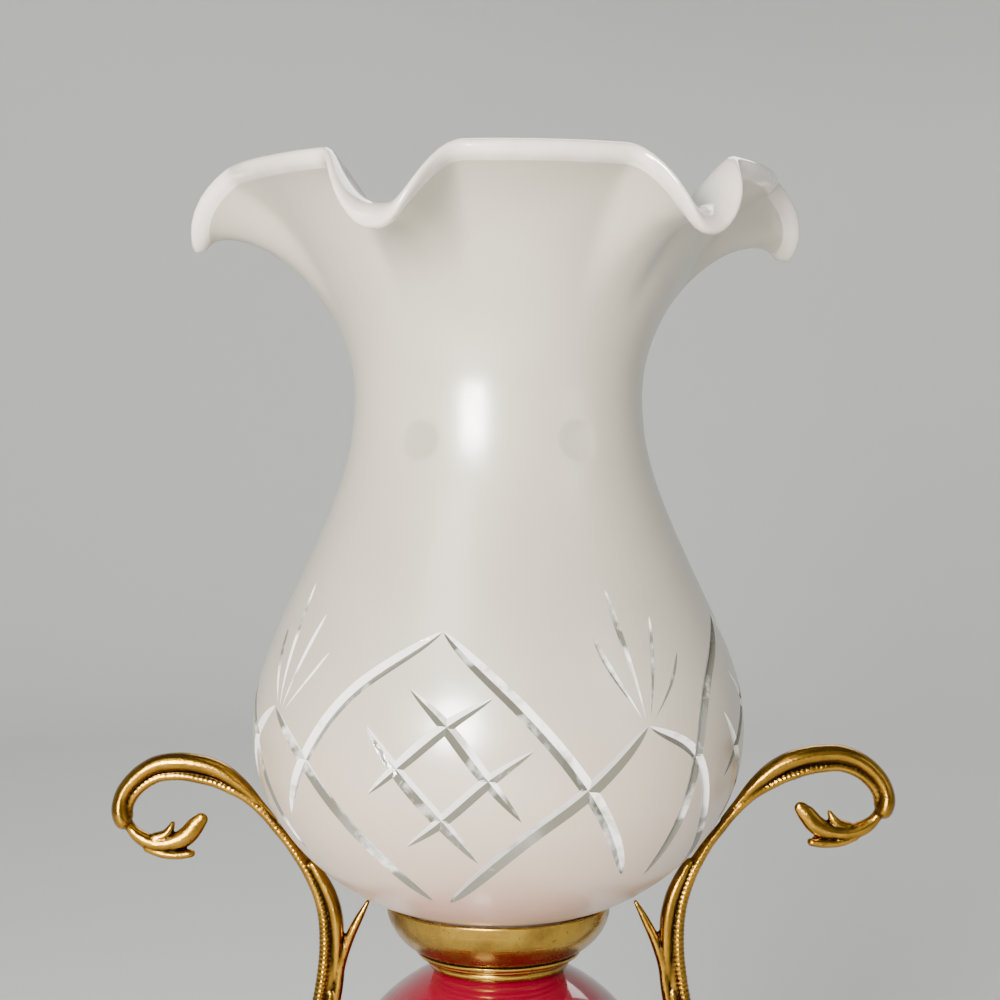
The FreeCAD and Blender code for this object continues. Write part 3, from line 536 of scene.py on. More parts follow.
def wall_at_run(run):
    """Radius, height and outward normal (out, up) of the plain wall along its section."""
    radius = np.interp(run, WALL_RUN, WALL_LINE[:, 0])
    height = np.interp(run, WALL_RUN, WALL_LINE[:, 1])
    slope = np.gradient(WALL_LINE, WALL_RUN, axis=0)
    across = np.interp(run, WALL_RUN, slope[:, 0])
    up = np.interp(run, WALL_RUN, slope[:, 1])
    return radius, height + SHADE_FOOT, up, -across


def around(radius, angle, height):
    """Points at an angle from the front, which is -Y, towards +X."""
    turn = np.radians(angle)
    return np.stack([radius * np.sin(turn), -radius * np.cos(turn), height], -1)


# A cut is its middle line as (angle from the front in degrees, height in mm), its width in
# mm and its kind: a long line, a lens or a ray that is widest near its outer end. Heights
# count from the level of the camera's eye.
EYE = SHADE_FOOT + 129.4


def repeat_cuts(turn, left, right, low_left, low_right, apex_left, apex_right, jitter):
    """The cuts of one large diamond with its hatching, turned about the axis."""
    def at(angle, height, share=0):
        return (turn + angle + share * jitter[0], EYE + height + share * jitter[1])

    top = at(-13.4, -47.2)
    cuts = [
        ([top, at(4.6, -64.1), at(*right), at(*low_right)], 3.7, "long"),
        ([top, at(-33.5, -61.4), at(*left), at(*low_left)], 3.4, "long"),
        ([at(-14.4, -113.4), at(4.8, -96.4), at(*right), at(*apex_right)], 3.9, "long"),
        ([at(-19.7, -113.2), at(-32.3, -97.6), at(*left), at(*apex_left)], 3.4, "long"),
    ]
    hatching = (
        (3.5, (-19.8, -60.1), (-11, -68.5), (-2.1, -80.9), (5, -90.6)),
        (3.8, (-29.4, -68.9), (-22.1, -78.8), (-12.5, -90.9), (-4.4, -101.4)),
        (3.3, (-29.1, -85.4), (-22.1, -78.8), (-11, -68.5), (-0.8, -61.7)),
        (3.3, (-21.5, -97.8), (-12.5, -90.9), (-2.1, -80.9), (7.6, -73.6)),
    )
    return cuts + [([at(*spot, 1) for spot in spots], width, "lens") for width, *spots in hatching]


def fan_cuts(turn):
    """Four rays above the small diamond, that meet at its top."""
    rays = (
        ((23.2, -49), (26.4, -56.8), (32.3, -67.7), 1.7),
        ((29.5, -38.2), (31.2, -51.5), (33.4, -68.2), 1.7),
        ((41.6, -45), (39, -52.8), (34.5, -68.2), 1.4),
        ((47.6, -53.6), (42.6, -60.4), (35.6, -68.5), 1.1),
    )
    return [
        ([(turn + a, EYE + h) for a, h in (outer, middle, inner)], width, "ray")
        for outer, middle, inner, width in rays
    ]


def all_cuts():
    """The four repeats, cut by hand and so not quite alike: where the long lines cross and
    end, the tops of the small diamonds beside, and how far the hatching is off."""
    left, right = (-47.3, -79.5), (19.5, -83.9)
    apex_left, apex_right = (-60.5, -67.9), (33.9, -69.7)
    front = (0, left, right, (-56.4, -94), (34, -106.8), apex_left, apex_right, (0, 0))
    onward = (90, (-41.3, -78.7), (18.9, -82), (-47, -108.3), (33, -106),
              (-56.1, -69.7), (33, -69), (0.6, -0.5))
    behind = (180, (-46.5, -80), (19.8, -81.6), (-60.5, -106), (32.6, -105.4),
              (-57, -69), (33.2, -68.6), (-0.5, 0.4))
    before = (270, (-46.4, -81), (17.9, -77.4), (-60, -105.5), (31, -104),
              (-56.8, -68.6), (29.5, -67.9), (0.4, 0.6))
    cuts = []
    for repeat in (front, onward, behind, before):
        cuts += repeat_cuts(*repeat)
        cuts += fan_cuts(repeat[0] - (1.5 if repeat[0] else 0))
    return cuts


def smooth_line(points, spacing):
    """A Catmull-Rom line through points, with about the given spacing."""
    points = np.array(points, float)
    padded = np.vstack([2 * points[0] - points[1], points, 2 * points[-1] - points[-2]])
    out = []
    for index in range(len(points) - 1):
        a, b, c, d = padded[index : index + 4]
        steps = max(2, int(np.linalg.norm(c - b) / spacing))
        for t in np.arange(steps) / steps:
            out.append(
                0.5 * (2 * b + (c - a) * t + (2 * a - 5 * b + 4 * c - d) * t * t
                       + (3 * b - a - 3 * c + d) * t ** 3)
            )
    return np.array(out + [points[-1]])


DEGREE = math.pi / 180.0
CUT_SLOPE = 0.5
FAR_OUTSIDE = -9.0


class Cut:
    """One wheel-cut groove on the unrolled wall: x is the angle in degrees, y the run."""

    def __init__(self, middle, width, kind):
        flat = np.array([(a, run_at_height(h)) for a, h in middle])
        self.line = smooth_line(flat, 1.4)
        radius = wall_at_run(self.line[:, 1])[0]
        scale = radius * DEGREE
        true = np.stack([self.line[:, 0] * scale.mean(), self.line[:, 1]], 1)
        length = lengths_along(true)
        t = length / length[-1]
        if kind == "long":
            shape = (1 - np.abs(2 * t - 1) ** 5) ** 0.75
        elif kind == "lens":
            shape = (1 - (2 * t - 1) ** 2) ** 0.8
        else:
            shape = np.sin(math.pi * t ** 0.62) ** 0.9
        self.half = 0.5 * width * np.maximum(shape, 0.0)
        self.half[[0, -1]] = 0.0
        way = np.gradient(self.line, axis=0) * np.stack([scale, np.ones_like(scale)], 1)
        way /= np.linalg.norm(way, axis=1)[:, None]
        offset = np.stack([-way[:, 1] / scale, way[:, 0]], 1) * self.half[:, None]
        self.sides = [self.line + offset, self.line - offset]

    def reach_inside(self, spots, scale):
        """How far inside the outline of the groove spots are, in mm; less than 0 outside."""
        inside = np.full(len(spots), FAR_OUTSIDE)
        low_corner = self.line.min(0) - (6, 5)
        high_corner = self.line.max(0) + (6, 5)
        near = ((spots > low_corner) & (spots < high_corner)).all(1)
        chosen = spots[near]
        best = np.full(len(chosen), FAR_OUTSIDE)
        factor = np.stack([scale[near], np.ones(near.sum())], 1)
        for index in range(len(self.line) - 1):
            start = (chosen - self.line[index]) * factor
            run = (self.line[index + 1] - self.line[index]) * factor
            t = np.clip((start * run).sum(1) / (run * run).sum(1), 0, 1)
            away = np.linalg.norm(start - run * t[:, None], axis=1)
            half = self.half[index] + (self.half[index + 1] - self.half[index]) * t
            best = np.maximum(best, half - away)
        inside[near] = best
        return inside


DOT_HEIGHT = SHADE_FOOT + 126.9
DOT_ANGLES = range(-150, 180, 60)
WAIST_RADIUS = 37.9
DOT_RADIUS = 5.6
DOT_DEPTH = 0.55


def groove_depth(spots, cuts):
    """Under spots on the unrolled wall: depth, distance inside a cut, cuts that overlap."""
    scale = wall_at_run(spots[:, 1])[0] * DEGREE
    inside = np.full(len(spots), FAR_OUTSIDE)
    overlap = np.zeros(len(spots), int)
    for cut in cuts:
        one = cut.reach_inside(spots, scale)
        inside = np.maximum(inside, one)
        overlap += one > 0.05
    return CUT_SLOPE * np.maximum(inside, 0.0), inside, overlap


def dimple_depth(spots):
    """Depth of the shallow round dimples, and how far inside one each spot is."""
    scale = wall_at_run(spots[:, 1])[0] * DEGREE
    inside = np.full(len(spots), FAR_OUTSIDE)
    run = run_at_height(DOT_HEIGHT)
    for angle in DOT_ANGLES:
        for turn in (-360, 0, 360):
            away = np.hypot((spots[:, 0] - angle - turn) * scale, spots[:, 1] - run)
            inside = np.maximum(inside, DOT_RADIUS - away)
    share = np.maximum(inside, 0.0) / DOT_RADIUS
    return DOT_DEPTH * share * (2 - share), inside


COLUMNS = 288
SEAM = 121.0
PATCH_LOW = SHADE_FOOT + 8.9
PATCH_HIGH = SHADE_FOOT + 137.9
ROW_SPACING = 2.0
GRID_COLUMNS = 192
# Angles are squeezed for the triangles, so that a degree counts about as a millimetre
SQUEEZE = 0.9


def cuts_over_the_seam():
    """Every cut, and copies one turn away of those that reach across the seam."""
    shapes = [Cut(*cut) for cut in all_cuts()]
    for turn in (-360.0, 360.0):
        for middle, width, kind in all_cuts():
            moved = [(angle + turn, height) for angle, height in middle]
            angles = [angle for angle, _ in moved]
            if max(angles) > SEAM - 8 and min(angles) < SEAM + 368:
                shapes.append(Cut(moved, width, kind))
    return [c for c in shapes if c.line[:, 0].max() > SEAM and c.line[:, 0].min() < SEAM + 360]


class Sheet:
    """Spots on the unrolled wall, and the lines that its triangles have to keep."""

    def __init__(self):
        self.spots = []
        self.edges = []

    def chain(self, points, closed=False):
        start = len(self.spots)
        last = start + len(points) - 1
        self.spots.extend(tuple(p) for p in points)
        self.edges.extend((i, i + 1) for i in range(start, last))
        if closed:
            self.edges.append((last, start))

    def add_borders(self, rows):
        ring = SEAM + np.arange(COLUMNS + 1) * 360.0 / COLUMNS
        for run in (rows[0], rows[-1]):
            self.chain([(angle, run) for angle in ring])
        for angle in (SEAM, SEAM + 360.0):
            self.chain([(angle, run) for run in rows])

    def add_cuts(self, shapes):
        for cut in shapes:
            self.chain(cut.line)
            for side in cut.sides:
                self.chain(side)

    def add_dimples(self):
        run = run_at_height(DOT_HEIGHT)
        scale = wall_at_run(run)[0] * DEGREE
        for angle in DOT_ANGLES:
            middle = angle + 360.0 * math.ceil((SEAM - angle) / 360.0)
            for share, count in ((1.0, 40), (0.8, 32), (0.55, 24), (0.3, 12)):
                reach = DOT_RADIUS * share
                ways = 2 * math.pi * np.arange(count) / count
                ring = [(middle + reach * math.cos(w) / scale, run + reach * math.sin(w)) for w in ways]
                self.chain(ring, closed=True)
            self.spots.append((middle, run))

    def add_grid(self, rows, shapes):
        """Even spots on the plain wall, every second row half a step aside."""
        step = 360.0 / GRID_COLUMNS
        grid = np.array([
            (SEAM + step * (column + 0.5 * (index % 2)), run)
            for index, run in enumerate(rows[1:-1])
            for column in range(GRID_COLUMNS)
            if index % 2 or column
        ])
        clear = np.maximum(groove_depth(grid, shapes)[1], dimple_depth(grid)[1]) < -0.6
        self.spots.extend(map(tuple, grid[clear]))

    def add_crossings(self, rows, shapes, spacing=0.55):
        """Closer spots where cuts cross, so that their valleys meet cleanly."""
        fine_rows = np.arange(rows[0], rows[-1], spacing)
        fine_columns = np.arange(SEAM + 0.3, SEAM + 359.7, spacing)
        fine = np.stack(np.meshgrid(fine_columns, fine_rows), -1).reshape(-1, 2)
        crossing = groove_depth(fine, shapes)[2] >= 2
        self.spots.extend(map(tuple, fine[crossing]))

    def triangles(self):
        flat = [Vector((angle * SQUEEZE, run)) for angle, run in self.spots]
        found, _, faces = geometry.delaunay_2d_cdt(flat, self.edges, [], 0, 1e-5, False)[:3]
        places = np.array([(v[0] / SQUEEZE, v[1]) for v in found])
        faces = np.array([f for f in faces if len(f) == 3])
        middle = places[faces].mean(1)[:, 0]
        return places, faces[(middle > SEAM) & (middle < SEAM + 360)]


def cut_patch(low_run, high_run):
    """Triangles of the wall between two rings, with every groove and dimple in it."""
    shapes = cuts_over_the_seam()
    rows = np.linspace(low_run, high_run, int((high_run - low_run) / ROW_SPACING))
    sheet = Sheet()
    sheet.add_borders(rows)
    sheet.add_cuts(shapes)
    sheet.add_dimples()
    sheet.add_grid(rows, shapes)
    sheet.add_crossings(rows, shapes)
    places, faces = sheet.triangles()
    depth = np.maximum(groove_depth(places, shapes)[0], dimple_depth(places)[0])
    depth[depth < 0.012] = 0.0
    radius, height, across, up = wall_at_run(places[:, 1])
    points = around(radius - depth * across, places[:, 0], height - depth * up)
    carved = groove_depth(places[faces].mean(1), shapes)[1] > 0.0
    return points, faces, carved


SHADE_LOOKS = ["frosted_glass", "cut_glass", "polished_rim", "inner_glass"]
FROSTED, CARVED, POLISHED, INNER = range(len(SHADE_LOOKS))
LIP_PLACE = len(SHADE_WALL) + len(CREST)


def section_places(loop, low_place, high_place):
    """Places of the rows of faces along the section: close at the lip and at the foot."""
    fine = np.linspace(high_place, LOOP_LENGTH + low_place, 6000)
    spacing = np.where(fine < LIP_PLACE - 1.2, 1.6, np.where(fine < LIP_PLACE + 1.2, 0.5, 2.0))
    spacing = np.where(fine > LIP_PLACE + 12, 3.2, spacing)
    spacing = np.where(fine > LOOP_LENGTH - 6, 1.0, spacing)
    run = np.linalg.norm(np.diff(spline(loop, fine), axis=0), axis=1)
    share = np.concatenate([[0], np.cumsum(run / spacing[1:])])
    return np.interp(np.linspace(0, share[-1], int(share[-1]) + 1), share, fine)


def look_at_place(place):
    if LIP_PLACE - 1.6 < place < LIP_PLACE + 2.1:
        return POLISHED
    if place < LIP_PLACE or place > LOOP_LENGTH - 0.5:
        return FROSTED
    return INNER


def sharpen_cuts(work):
    """Hard edges along the cuts; the rest of the glass stays smooth."""
    for edge in work.edges:
        if len(edge.link_faces) == 2 and CARVED in [f.material_index for f in edge.link_faces]:
            if edge.calc_face_angle(0.0) > math.radians(11):
                edge.smooth = False


def make_shade():
    loops = [shade_loop(SEAM + 360.0 * k / COLUMNS) for k in range(COLUMNS)]
    low_place, high_place = (
        float(np.interp(height - SHADE_FOOT, WALL_LINE[:, 1], WALL_PLACES))
        for height in (PATCH_LOW, PATCH_HIGH)
    )
    places = section_places(loops[0], low_place, high_place)
    rows = len(places)
    grid = []
    for column in range(COLUMNS):
        section = spline(loops[column], places)
        angle = SEAM + 360.0 * column / COLUMNS
        grid.append(around(section[:, 0], angle, section[:, 1] + SHADE_FOOT))
    points = np.concatenate(grid)
    faces, slots = [], []
    for column in range(COLUMNS):
        here = column * rows
        there = ((column + 1) % COLUMNS) * rows
        for row in range(rows - 1):
            faces.append((here + row, there + row, there + row + 1, here + row + 1))
            slots.append(look_at_place(0.5 * (places[row] + places[row + 1])))
    low_run, high_run = (
        float(np.interp(place, WALL_PLACES, WALL_RUN)) for place in (low_place, high_place)
    )
    patch, triangles, carved = cut_patch(low_run, high_run)
    faces += [tuple(int(i) + len(points) for i in f) for f in triangles]
    slots += [CARVED if c else FROSTED for c in carved]
    points = np.concatenate([points, patch])
    piece = new_object(
        "shade_glass", points, faces, "shade", "frosted_glass", ["shade"], SHADE_LOOKS
    )
    piece.data.polygons.foreach_set("material_index", slots)
    with editing(piece.data) as work:
        bmesh.ops.remove_doubles(work, verts=work.verts, dist=2e-6)
        bmesh.ops.dissolve_degenerate(work, edges=work.edges, dist=1e-7)
        bmesh.ops.recalc_face_normals(work, faces=work.faces)
        sharpen_cuts(work)
    paint_facet_light(piece.data)
    tell_dimples(piece.data)


def paint_facet_light(mesh):
    """Stores painted light for each facet of a cut, by which way it leans: up and left is painted dark,
    down and right painted bright.
    """
    painted_facet_light = []
    for face in mesh.polygons:
        value = 0.5
        if face.material_index == CARVED:
            x, y, z = face.center / MM
            reach = math.hypot(x, y)
            right = Vector((-y, x, 0)) / reach
            across, up = wall_at_run(run_at_height(z))[2:]
            wall = Vector((across * x / reach, across * y / reach, up))
            tilt = face.normal - wall
            value = min(1.0, max(0.0, 0.5 + 1.1 * (tilt.dot(right) * 0.3 - tilt.z * 0.95)))
        painted_facet_light.append(value)
    mesh.attributes.new("facet", "FLOAT", "FACE").data.foreach_set("value", painted_facet_light)


def tell_dimples(mesh):
    """Stores where the outside is polished: 1 in the dimples, falling to 0 at their edges."""
    spacing = DOT_ANGLES.step
    polish = []
    for vertex in mesh.vertices:
        x, y, z = vertex.co / MM
        inside = 0.0
        if math.hypot(x, y) > WAIST_RADIUS - 1.3:
            off = (math.degrees(math.atan2(x, -y)) - DOT_ANGLES[0] + spacing / 2) % spacing - spacing / 2
            inside = DOT_RADIUS - math.hypot(math.radians(off) * WAIST_RADIUS, z - DOT_HEIGHT)
        polish.append(min(1.0, max(0.0, inside / 1.4)))
    mesh.attributes.new("polish", "FLOAT", "POINT").data.foreach_set("value", polish)


# ---- handles

# Middle line of a handle from the tang up: (out from the axis, above the foot), and how far
# each casting is off that mean, the right one out and up and the left one in and down
HANDLE_LINE = (
    (21.5, 2, 0, 0), (27.5, 4.2, 0, 0), (35.2, 11.9, 0, 0),
    (42.4, 24.4, 0.2, 0), (48.2, 39.4, 0.4, 0), (51.3, 56.4, 0.6, 0),
    (50.8, 71.4, 0.7, 0), (48.1, 85.4, 0.8, 0), (45.7, 97.4, 0.85, 0),
    (44.7, 108.4, 0.85, 0), (45.6, 118.4, 0.8, 0), (49, 126.9, 0.6, 0.1),
    (53.6, 133.7, 0.3, 0.1), (58.5, 139.6, 0.1, 0), (63.5, 145.5, 0.1, 0.1),
    (68.4, 150.1, 0.1, 0.3), (73.9, 153.7, 0.1, 0.5), (79.4, 155.6, 0.1, 0.8),
    (84.5, 156.4, 0.1, 1), (89.9, 156.1, 0.2, 1.4), (95, 153.6, 0.7, 1.6),
    (98.9, 149.4, 1.1, 1.5), (99.9, 144.8, 1.3, 1.4), (97.6, 140, 1.3, 1.4),
    (93.6, 137.4, 1.2, 1.5), (89.2, 136.6, 0.9, 1.5), (85, 137.2, 0.7, 1.5),
)
# Strands that run with the middle line: (place, offset to its left, radius, half depth)
STRANDS = {
    "beaded": (
        (0, -0.5, 1.2, 1.5), (1.5, -1.3, 1.6, 2), (4, -1.7, 1.7, 2.2), (8, -1.75, 1.7, 2.2),
        (10, -1.6, 1.6, 2.1), (11.2, -1, 1.5, 2), (12.3, -0.25, 1.4, 1.8),
        (13.4, -0.15, 1.3, 1.7), (14.5, -0.75, 1.3, 1.7), (15.5, -1.9, 1.35, 1.8),
        (16.5, -2.45, 1.35, 1.8), (18.5, -2.4, 1.3, 1.7), (20, -1.9, 1.3, 1.7),
        (21.2, -1.6, 1.35, 1.7), (22.3, -1, 1.3, 1.6),
    ),
    "upper": (
        (13.2, 0.75, 0.7, 1.1), (14, 0.6, 1.1, 1.5), (14.8, 0.85, 1.7, 2.2),
        (15.6, 1.15, 2.25, 2.7), (16.6, 1.35, 2.5, 2.9), (18, 1.25, 2.45, 2.9),
        (19.5, 1.15, 2.3, 2.8), (20.8, 0.95, 2.2, 2.8), (21.4, 0.85, 2.2, 3),
        (21.9, 0.8, 2.45, 3.4), (22.2, 0.75, 2.5, 3.5), (22.4, 0.75, 2.35, 3.3),
    ),
    "husk": (
        (8.2, 1.5, 0.7, 1.3), (8.8, 1.5, 1.5, 2.2), (9.6, 1.5, 1.95, 2.6), (10.4, 1.35, 1.9, 2.5),
        (11, 1.15, 1.6, 2.2), (11.35, 1.1, 1.2, 1.9),
    ),
    "lower_husk": (
        (0.3, 0.8, 1.1, 1.5), (2, 1.5, 1.6, 2.1), (4.5, 1.6, 1.75, 2.3), (6.5, 1.5, 1.7, 2.3),
        (7.4, 1.2, 1.4, 2.1), (7.9, 1, 1, 1.8),
    ),
    "inner": (
        (0.6, 1.6, 0.9, 1.2), (3, 2.4, 1.2, 1.6), (6, 2.5, 1.25, 1.7), (8, 2.7, 1.3, 1.8),
        (9, 2.6, 1.1, 1.5),
    ),
    "curl": (
        (21.4, 0.1, 1.2, 1.5), (22.9, -0.1, 1.45, 1.7), (23.8, 0.1, 2.1, 2.1), (24.6, 0.2, 2.1, 2.2),
        (25.4, 0.1, 1.9, 2.1), (26, 0, 1.5, 1.9),
    ),
    "core": (
        (0, 0, 1.7, 1.3), (3, 0, 2.2, 1.3), (9.5, 0, 2.2, 1.4), (11.5, 0, 1.3, 1.1),
        (13.5, 0, 1, 1), (15, 0, 1.6, 1.3), (19, -0.4, 2.2, 1.5), (22, 0, 1.8, 1.4),
    ),
}
# Free tips in the handle's plane: points as (out, above the foot, radius, half depth), and
# the place in HANDLE_LINE that each moves with
TIPS = (
    (((43, 96.4, 1, 1.4), (42.2, 103.4, 1.3, 1.6), (40.2, 109.9, 1.35, 1.6),
      (37.6, 115.4, 1.1, 1.3), (35.2, 119.8, 0.55, 0.7)), 9),
    (((93, 135.4, 1.2, 1.8), (89, 134, 1.3, 1.9), (84.8, 133.7, 1.3, 1.8),
      (81.6, 134, 1.15, 1.5)), 26),
    (((90.5, 136.8, 1.6, 1.9), (86.6, 136.9, 2.2, 2.1), (83, 138.4, 2.6, 1.9),
      (80.4, 141.3, 2.4, 1.5), (78.9, 142.9, 1.85, 1.1)), 26),
    (((91.2, 138, 1.5, 1.8), (88.4, 138.9, 1.4, 1.7), (87, 140.6, 1.05, 1.4),
      (86.4, 141.9, 0.65, 1)), 26),
)


# Screwed pad under the tang: inner and outer end, half width and thickness
PAD = (11.6, 23.6, 4, 3.5)
BEAD_LENGTH = 1.25


def tube(path, radii, depths, sides=16):
    """A closed tube along points in the XZ plane, round at both ends."""
    way, left = directions(path)
    least = 0.02

    def cap(end, sign, shares):
        for share in shares:
            shrink = math.sqrt(max(0.0, 1 - share * share))
            spot = path[end] + sign * way[end] * radii[end] * share
            yield spot, left[end], max(radii[end] * shrink, least), max(depths[end] * shrink, least)

    rows = [
        *cap(0, -1, (1.0, 0.85, 0.5)), *zip(path, left, radii, depths), *cap(-1, 1, (0.5, 0.85, 1.0))
    ]
    points, faces = [], []
    for spot, side, radius, depth in rows:
        for step in range(sides):
            turn = 2 * math.pi * step / sides
            across = spot + side * radius * math.cos(turn)
            points.append((across[0], depth * math.sin(turn), across[1]))
    for row in range(len(rows) - 1):
        for step in range(sides):
            following = (step + 1) % sides
            here = row * sides
            there = here + sides
            faces.append((here + step, here + following, there + following, there + step))
    faces.append(tuple(range(sides))[::-1])
    faces.append(tuple(range((len(rows) - 1) * sides, len(rows) * sides)))
    return points, faces


def make_handle(name, side):
    """One casting from its strands and tips; side is 1 for the right one, -1 for the left."""
    table = np.array(HANDLE_LINE)
    middle = table[:, :2] + side * table[:, 2:]
    fine = smooth_line(middle, 0.12)
    knots = [int(np.argmin(np.linalg.norm(fine - m, axis=1))) for m in middle]
    knots[0], knots[-1] = 0, len(fine) - 1
    left = directions(fine)[1]
    points, faces = [], []

    def add(tube_mesh):
        start = len(points)
        points.extend(tube_mesh[0])
        faces.extend(tuple(start + i for i in f) for f in tube_mesh[1])

    for strand, rows in STRANDS.items():
        rows = np.array(rows)
        first = np.interp(rows[0, 0], range(len(knots)), knots)
        last = np.interp(rows[-1, 0], range(len(knots)), knots)
        index = np.arange(int(first), int(last) + 1, 2)
        places = np.interp(index, knots, range(len(knots)))
        offset, radius, depth = (np.interp(places, rows[:, 0], rows[:, c]) for c in (1, 2, 3))
        if len(index) > 20:
            kernel = np.ones(11) / 11
            for values in (offset, radius, depth):
                values[:] = np.convolve(np.pad(values, 5, mode="edge"), kernel, "valid")
        path = fine[index] + left[index] * offset[:, None]
        run = lengths_along(path)
        if strand == "beaded":
            bead = np.cos(2 * math.pi * run / BEAD_LENGTH)
            radius = radius * (1 + 0.09 * bead)
            depth = depth * (1 + 0.05 * bead)
        add(tube(path, radius, depth))
    for rows, place in TIPS:
        rows = np.array(rows)
        shift = side * table[place, 2:]
        smooth = smooth_line(rows, 0.35)
        add(tube(smooth[:, :2] + shift, smooth[:, 2], smooth[:, 3]))
    near, far, half, thick = PAD
    corners = ((near, -half), (far, -half), (far, half), (near, half))
    add((
        [(x, y, z) for z in (0, thick) for x, y in corners],
        [(3, 2, 1, 0), (4, 5, 6, 7), (0, 1, 5, 4), (1, 2, 6, 5), (2, 3, 7, 6), (3, 0, 4, 7)],
    ))
    foot = low(name)[2]
    points = [(side * x, y, foot + z) for x, y, z in points]
    faces = [f[::side] for f in faces]
    piece = new_object(name + "_casting", points, faces, "base", "cast_brass", [name])
    mesher = piece.modifiers.new("cast", "REMESH")
    mesher.mode = "VOXEL"
    mesher.voxel_size = 0.36 * MM
    mesher.use_smooth_shade = True
    soften = piece.modifiers.new("soften", "SMOOTH")
    soften.factor = 0.5
    soften.iterations = 2
    apply_modifiers(piece)
    mark_hollows(piece, passes=4)
    piece.data.polygons.foreach_set("use_smooth", [True] * len(piece.data.polygons))


# ---- turned pieces


def make_turned_pieces():
    """All lathe work from the foot up; gives back the bowl, which is bored afterwards."""
    turned(
        "foot", "base_foot",
        [(62, 0), (62, 2.6), ((61.2, 4.7), (59.2, 5.5)), (56.5, 5.5), ((47.5, 12.6), (33, 17)),
         (30, 17), ((17.8, 25), (12.5, 35.3)), (12.5, 36.5), (3.2, 36.5), (3.2, 35.1), (11.1, 35.1),
         ((16.6, 24.1), (29.6, 15.6)), (32.8, 15.6), ((46.7, 11.4), (55.9, 4.1)), (59.1, 4.1),
         ((60.2, 3.7), (60.6, 2.6)), (60.6, 0)],
        steps=240,
    )
    turned(
        "baluster", "stem_baluster",
        [(3.2, 0), (11.5, 0), ((13.1, 1.6), (11.5, 3.2)), (9.6, 3.6), ((6.6, 11.5), (8.2, 19.4)),
         (10.5, 20.6), ((12.1, 22.3), (10.5, 24)), (3.2, 24)],
    )
    turned(
        "knop", "stem_knop",
        [(3.2, 0), (8, 0), (8, 1.6), ((14, 8), (8, 14.4)), (8, 16), (3.2, 16)],
    )
    turned(
        "ring", "stem_ring",
        [(3.2, 0), (9.6, 0), ((11.2, 1.5), (9.6, 3)), ((10, 5.6), (13.2, 6.6)), (15.4, 6.8),
         (15.4, 8), (3.2, 8)],
    )
    turned(
        "bracket", "handle_bracket",
        [(3.2, 0), (22, 0), ((23, 1.8), (22, 3.6)), (9.4, 3.6), ((7.6, 8.6), (9.8, 14)), (3.2, 14)],
    )
    turned(
        "cradle", "font_cradle",
        [(3.2, 0), (10.8, 0), ((12.1, 1.3), (10.8, 2.6)), (8.8, 3.6),
         ((9.4, 5), (11.8, 7.23)), ((22.2, 11.37), (32.6, 19.12)), (31.6, 20.1),
         ((19.2, 11.41), (6.8, 7.62)), (6.8, 3.6), (3.2, 3.6)],
        steps=192,
    )
    turned(
        "collar", "font_collar",
        [(12, 0), (13.2, 0), (13.2, 4), (16.75, 4), (16.8, 2), ((18.1, 2.6), (18.4, 4.4)),
         ((19.6, 4.6), (20.0, 5.5)), ((21.2, 5.8), (21.6, 6.8)), (12, 6.8)],
        steps=192, soften=0.12,
    )
    turned(
        "font_glass", "font",
        [(0, 0), ((31.04, 12.86), (43.9, 43.9)), ((36.9, 67.68), (16.8, 84.46)),
         (16.4, 84.8), (16.4, 86.7), (14, 86.7), (14, 82.33), ((34.6, 65.7), (40.9, 43.9)),
         ((28.9, 15), (0, 3))],
        slot="red_glass", steps=256, soften=0.3, arc_steps=48,
    )
    return turned(
        "bowl", "gallery_cup",
        [(12.2, 0), (22.2, 0), ((26.3, 3.3), (29.1, 8.7)), (29.4, 11),
         ((28.9, 11.7), (28.4, 11)), (28.2, 8.7), ((25.6, 3.8), (21.8, 0.8)),
         (12.2, 0.8)],
        body="burner", steps=256, soften=0.15,
    )


def bore_bowl(bowl):
    """The hole for the bush of the wick's shaft, through the back of the bowl."""
    near, far = low("shaft_bush"), high("shaft_bush")
    radius = 0.5 * (far[0] - near[0]) * MM
    hole = bpy.data.meshes.new("hole")
    with editing(hole) as work:
        bmesh.ops.create_cone(
            work, cap_ends=True, segments=48, radius1=radius, radius2=radius, depth=12 * MM
        )
    drill = add_object("drill", hole)
    drill.rotation_euler = (math.radians(90), 0, 0)
    drill.location = [0.5 * (a + b) * MM for a, b in zip(near, far)]
    bore = bowl.modifiers.new("bore", "BOOLEAN")
    bore.operation = "DIFFERENCE"
    bore.object = drill
    bpy.context.view_layer.update()
    apply_modifiers(bowl)
    bpy.data.objects.remove(drill)


def make_felt():
    """Felt disc with a soft, slightly uneven edge."""
    piece = turned(
        "felt", "felt_pad",
        [(0, 0), (59.6, 0), ((60.3, 0.35), (60.5, 0.8)), ((60.2, 1.3), (59.8, 1.5)), (0, 1.5)],
        slot="green_felt", steps=300, soften=0.1,
    )
    rng = random.Random(SEED)
    for vertex in piece.data.vertices:
        if math.hypot(vertex.co.x, vertex.co.y) > 59 * MM:
            pull = 1 - 0.0022 * rng.random()
            vertex.co.x *= pull
            vertex.co.y *= pull


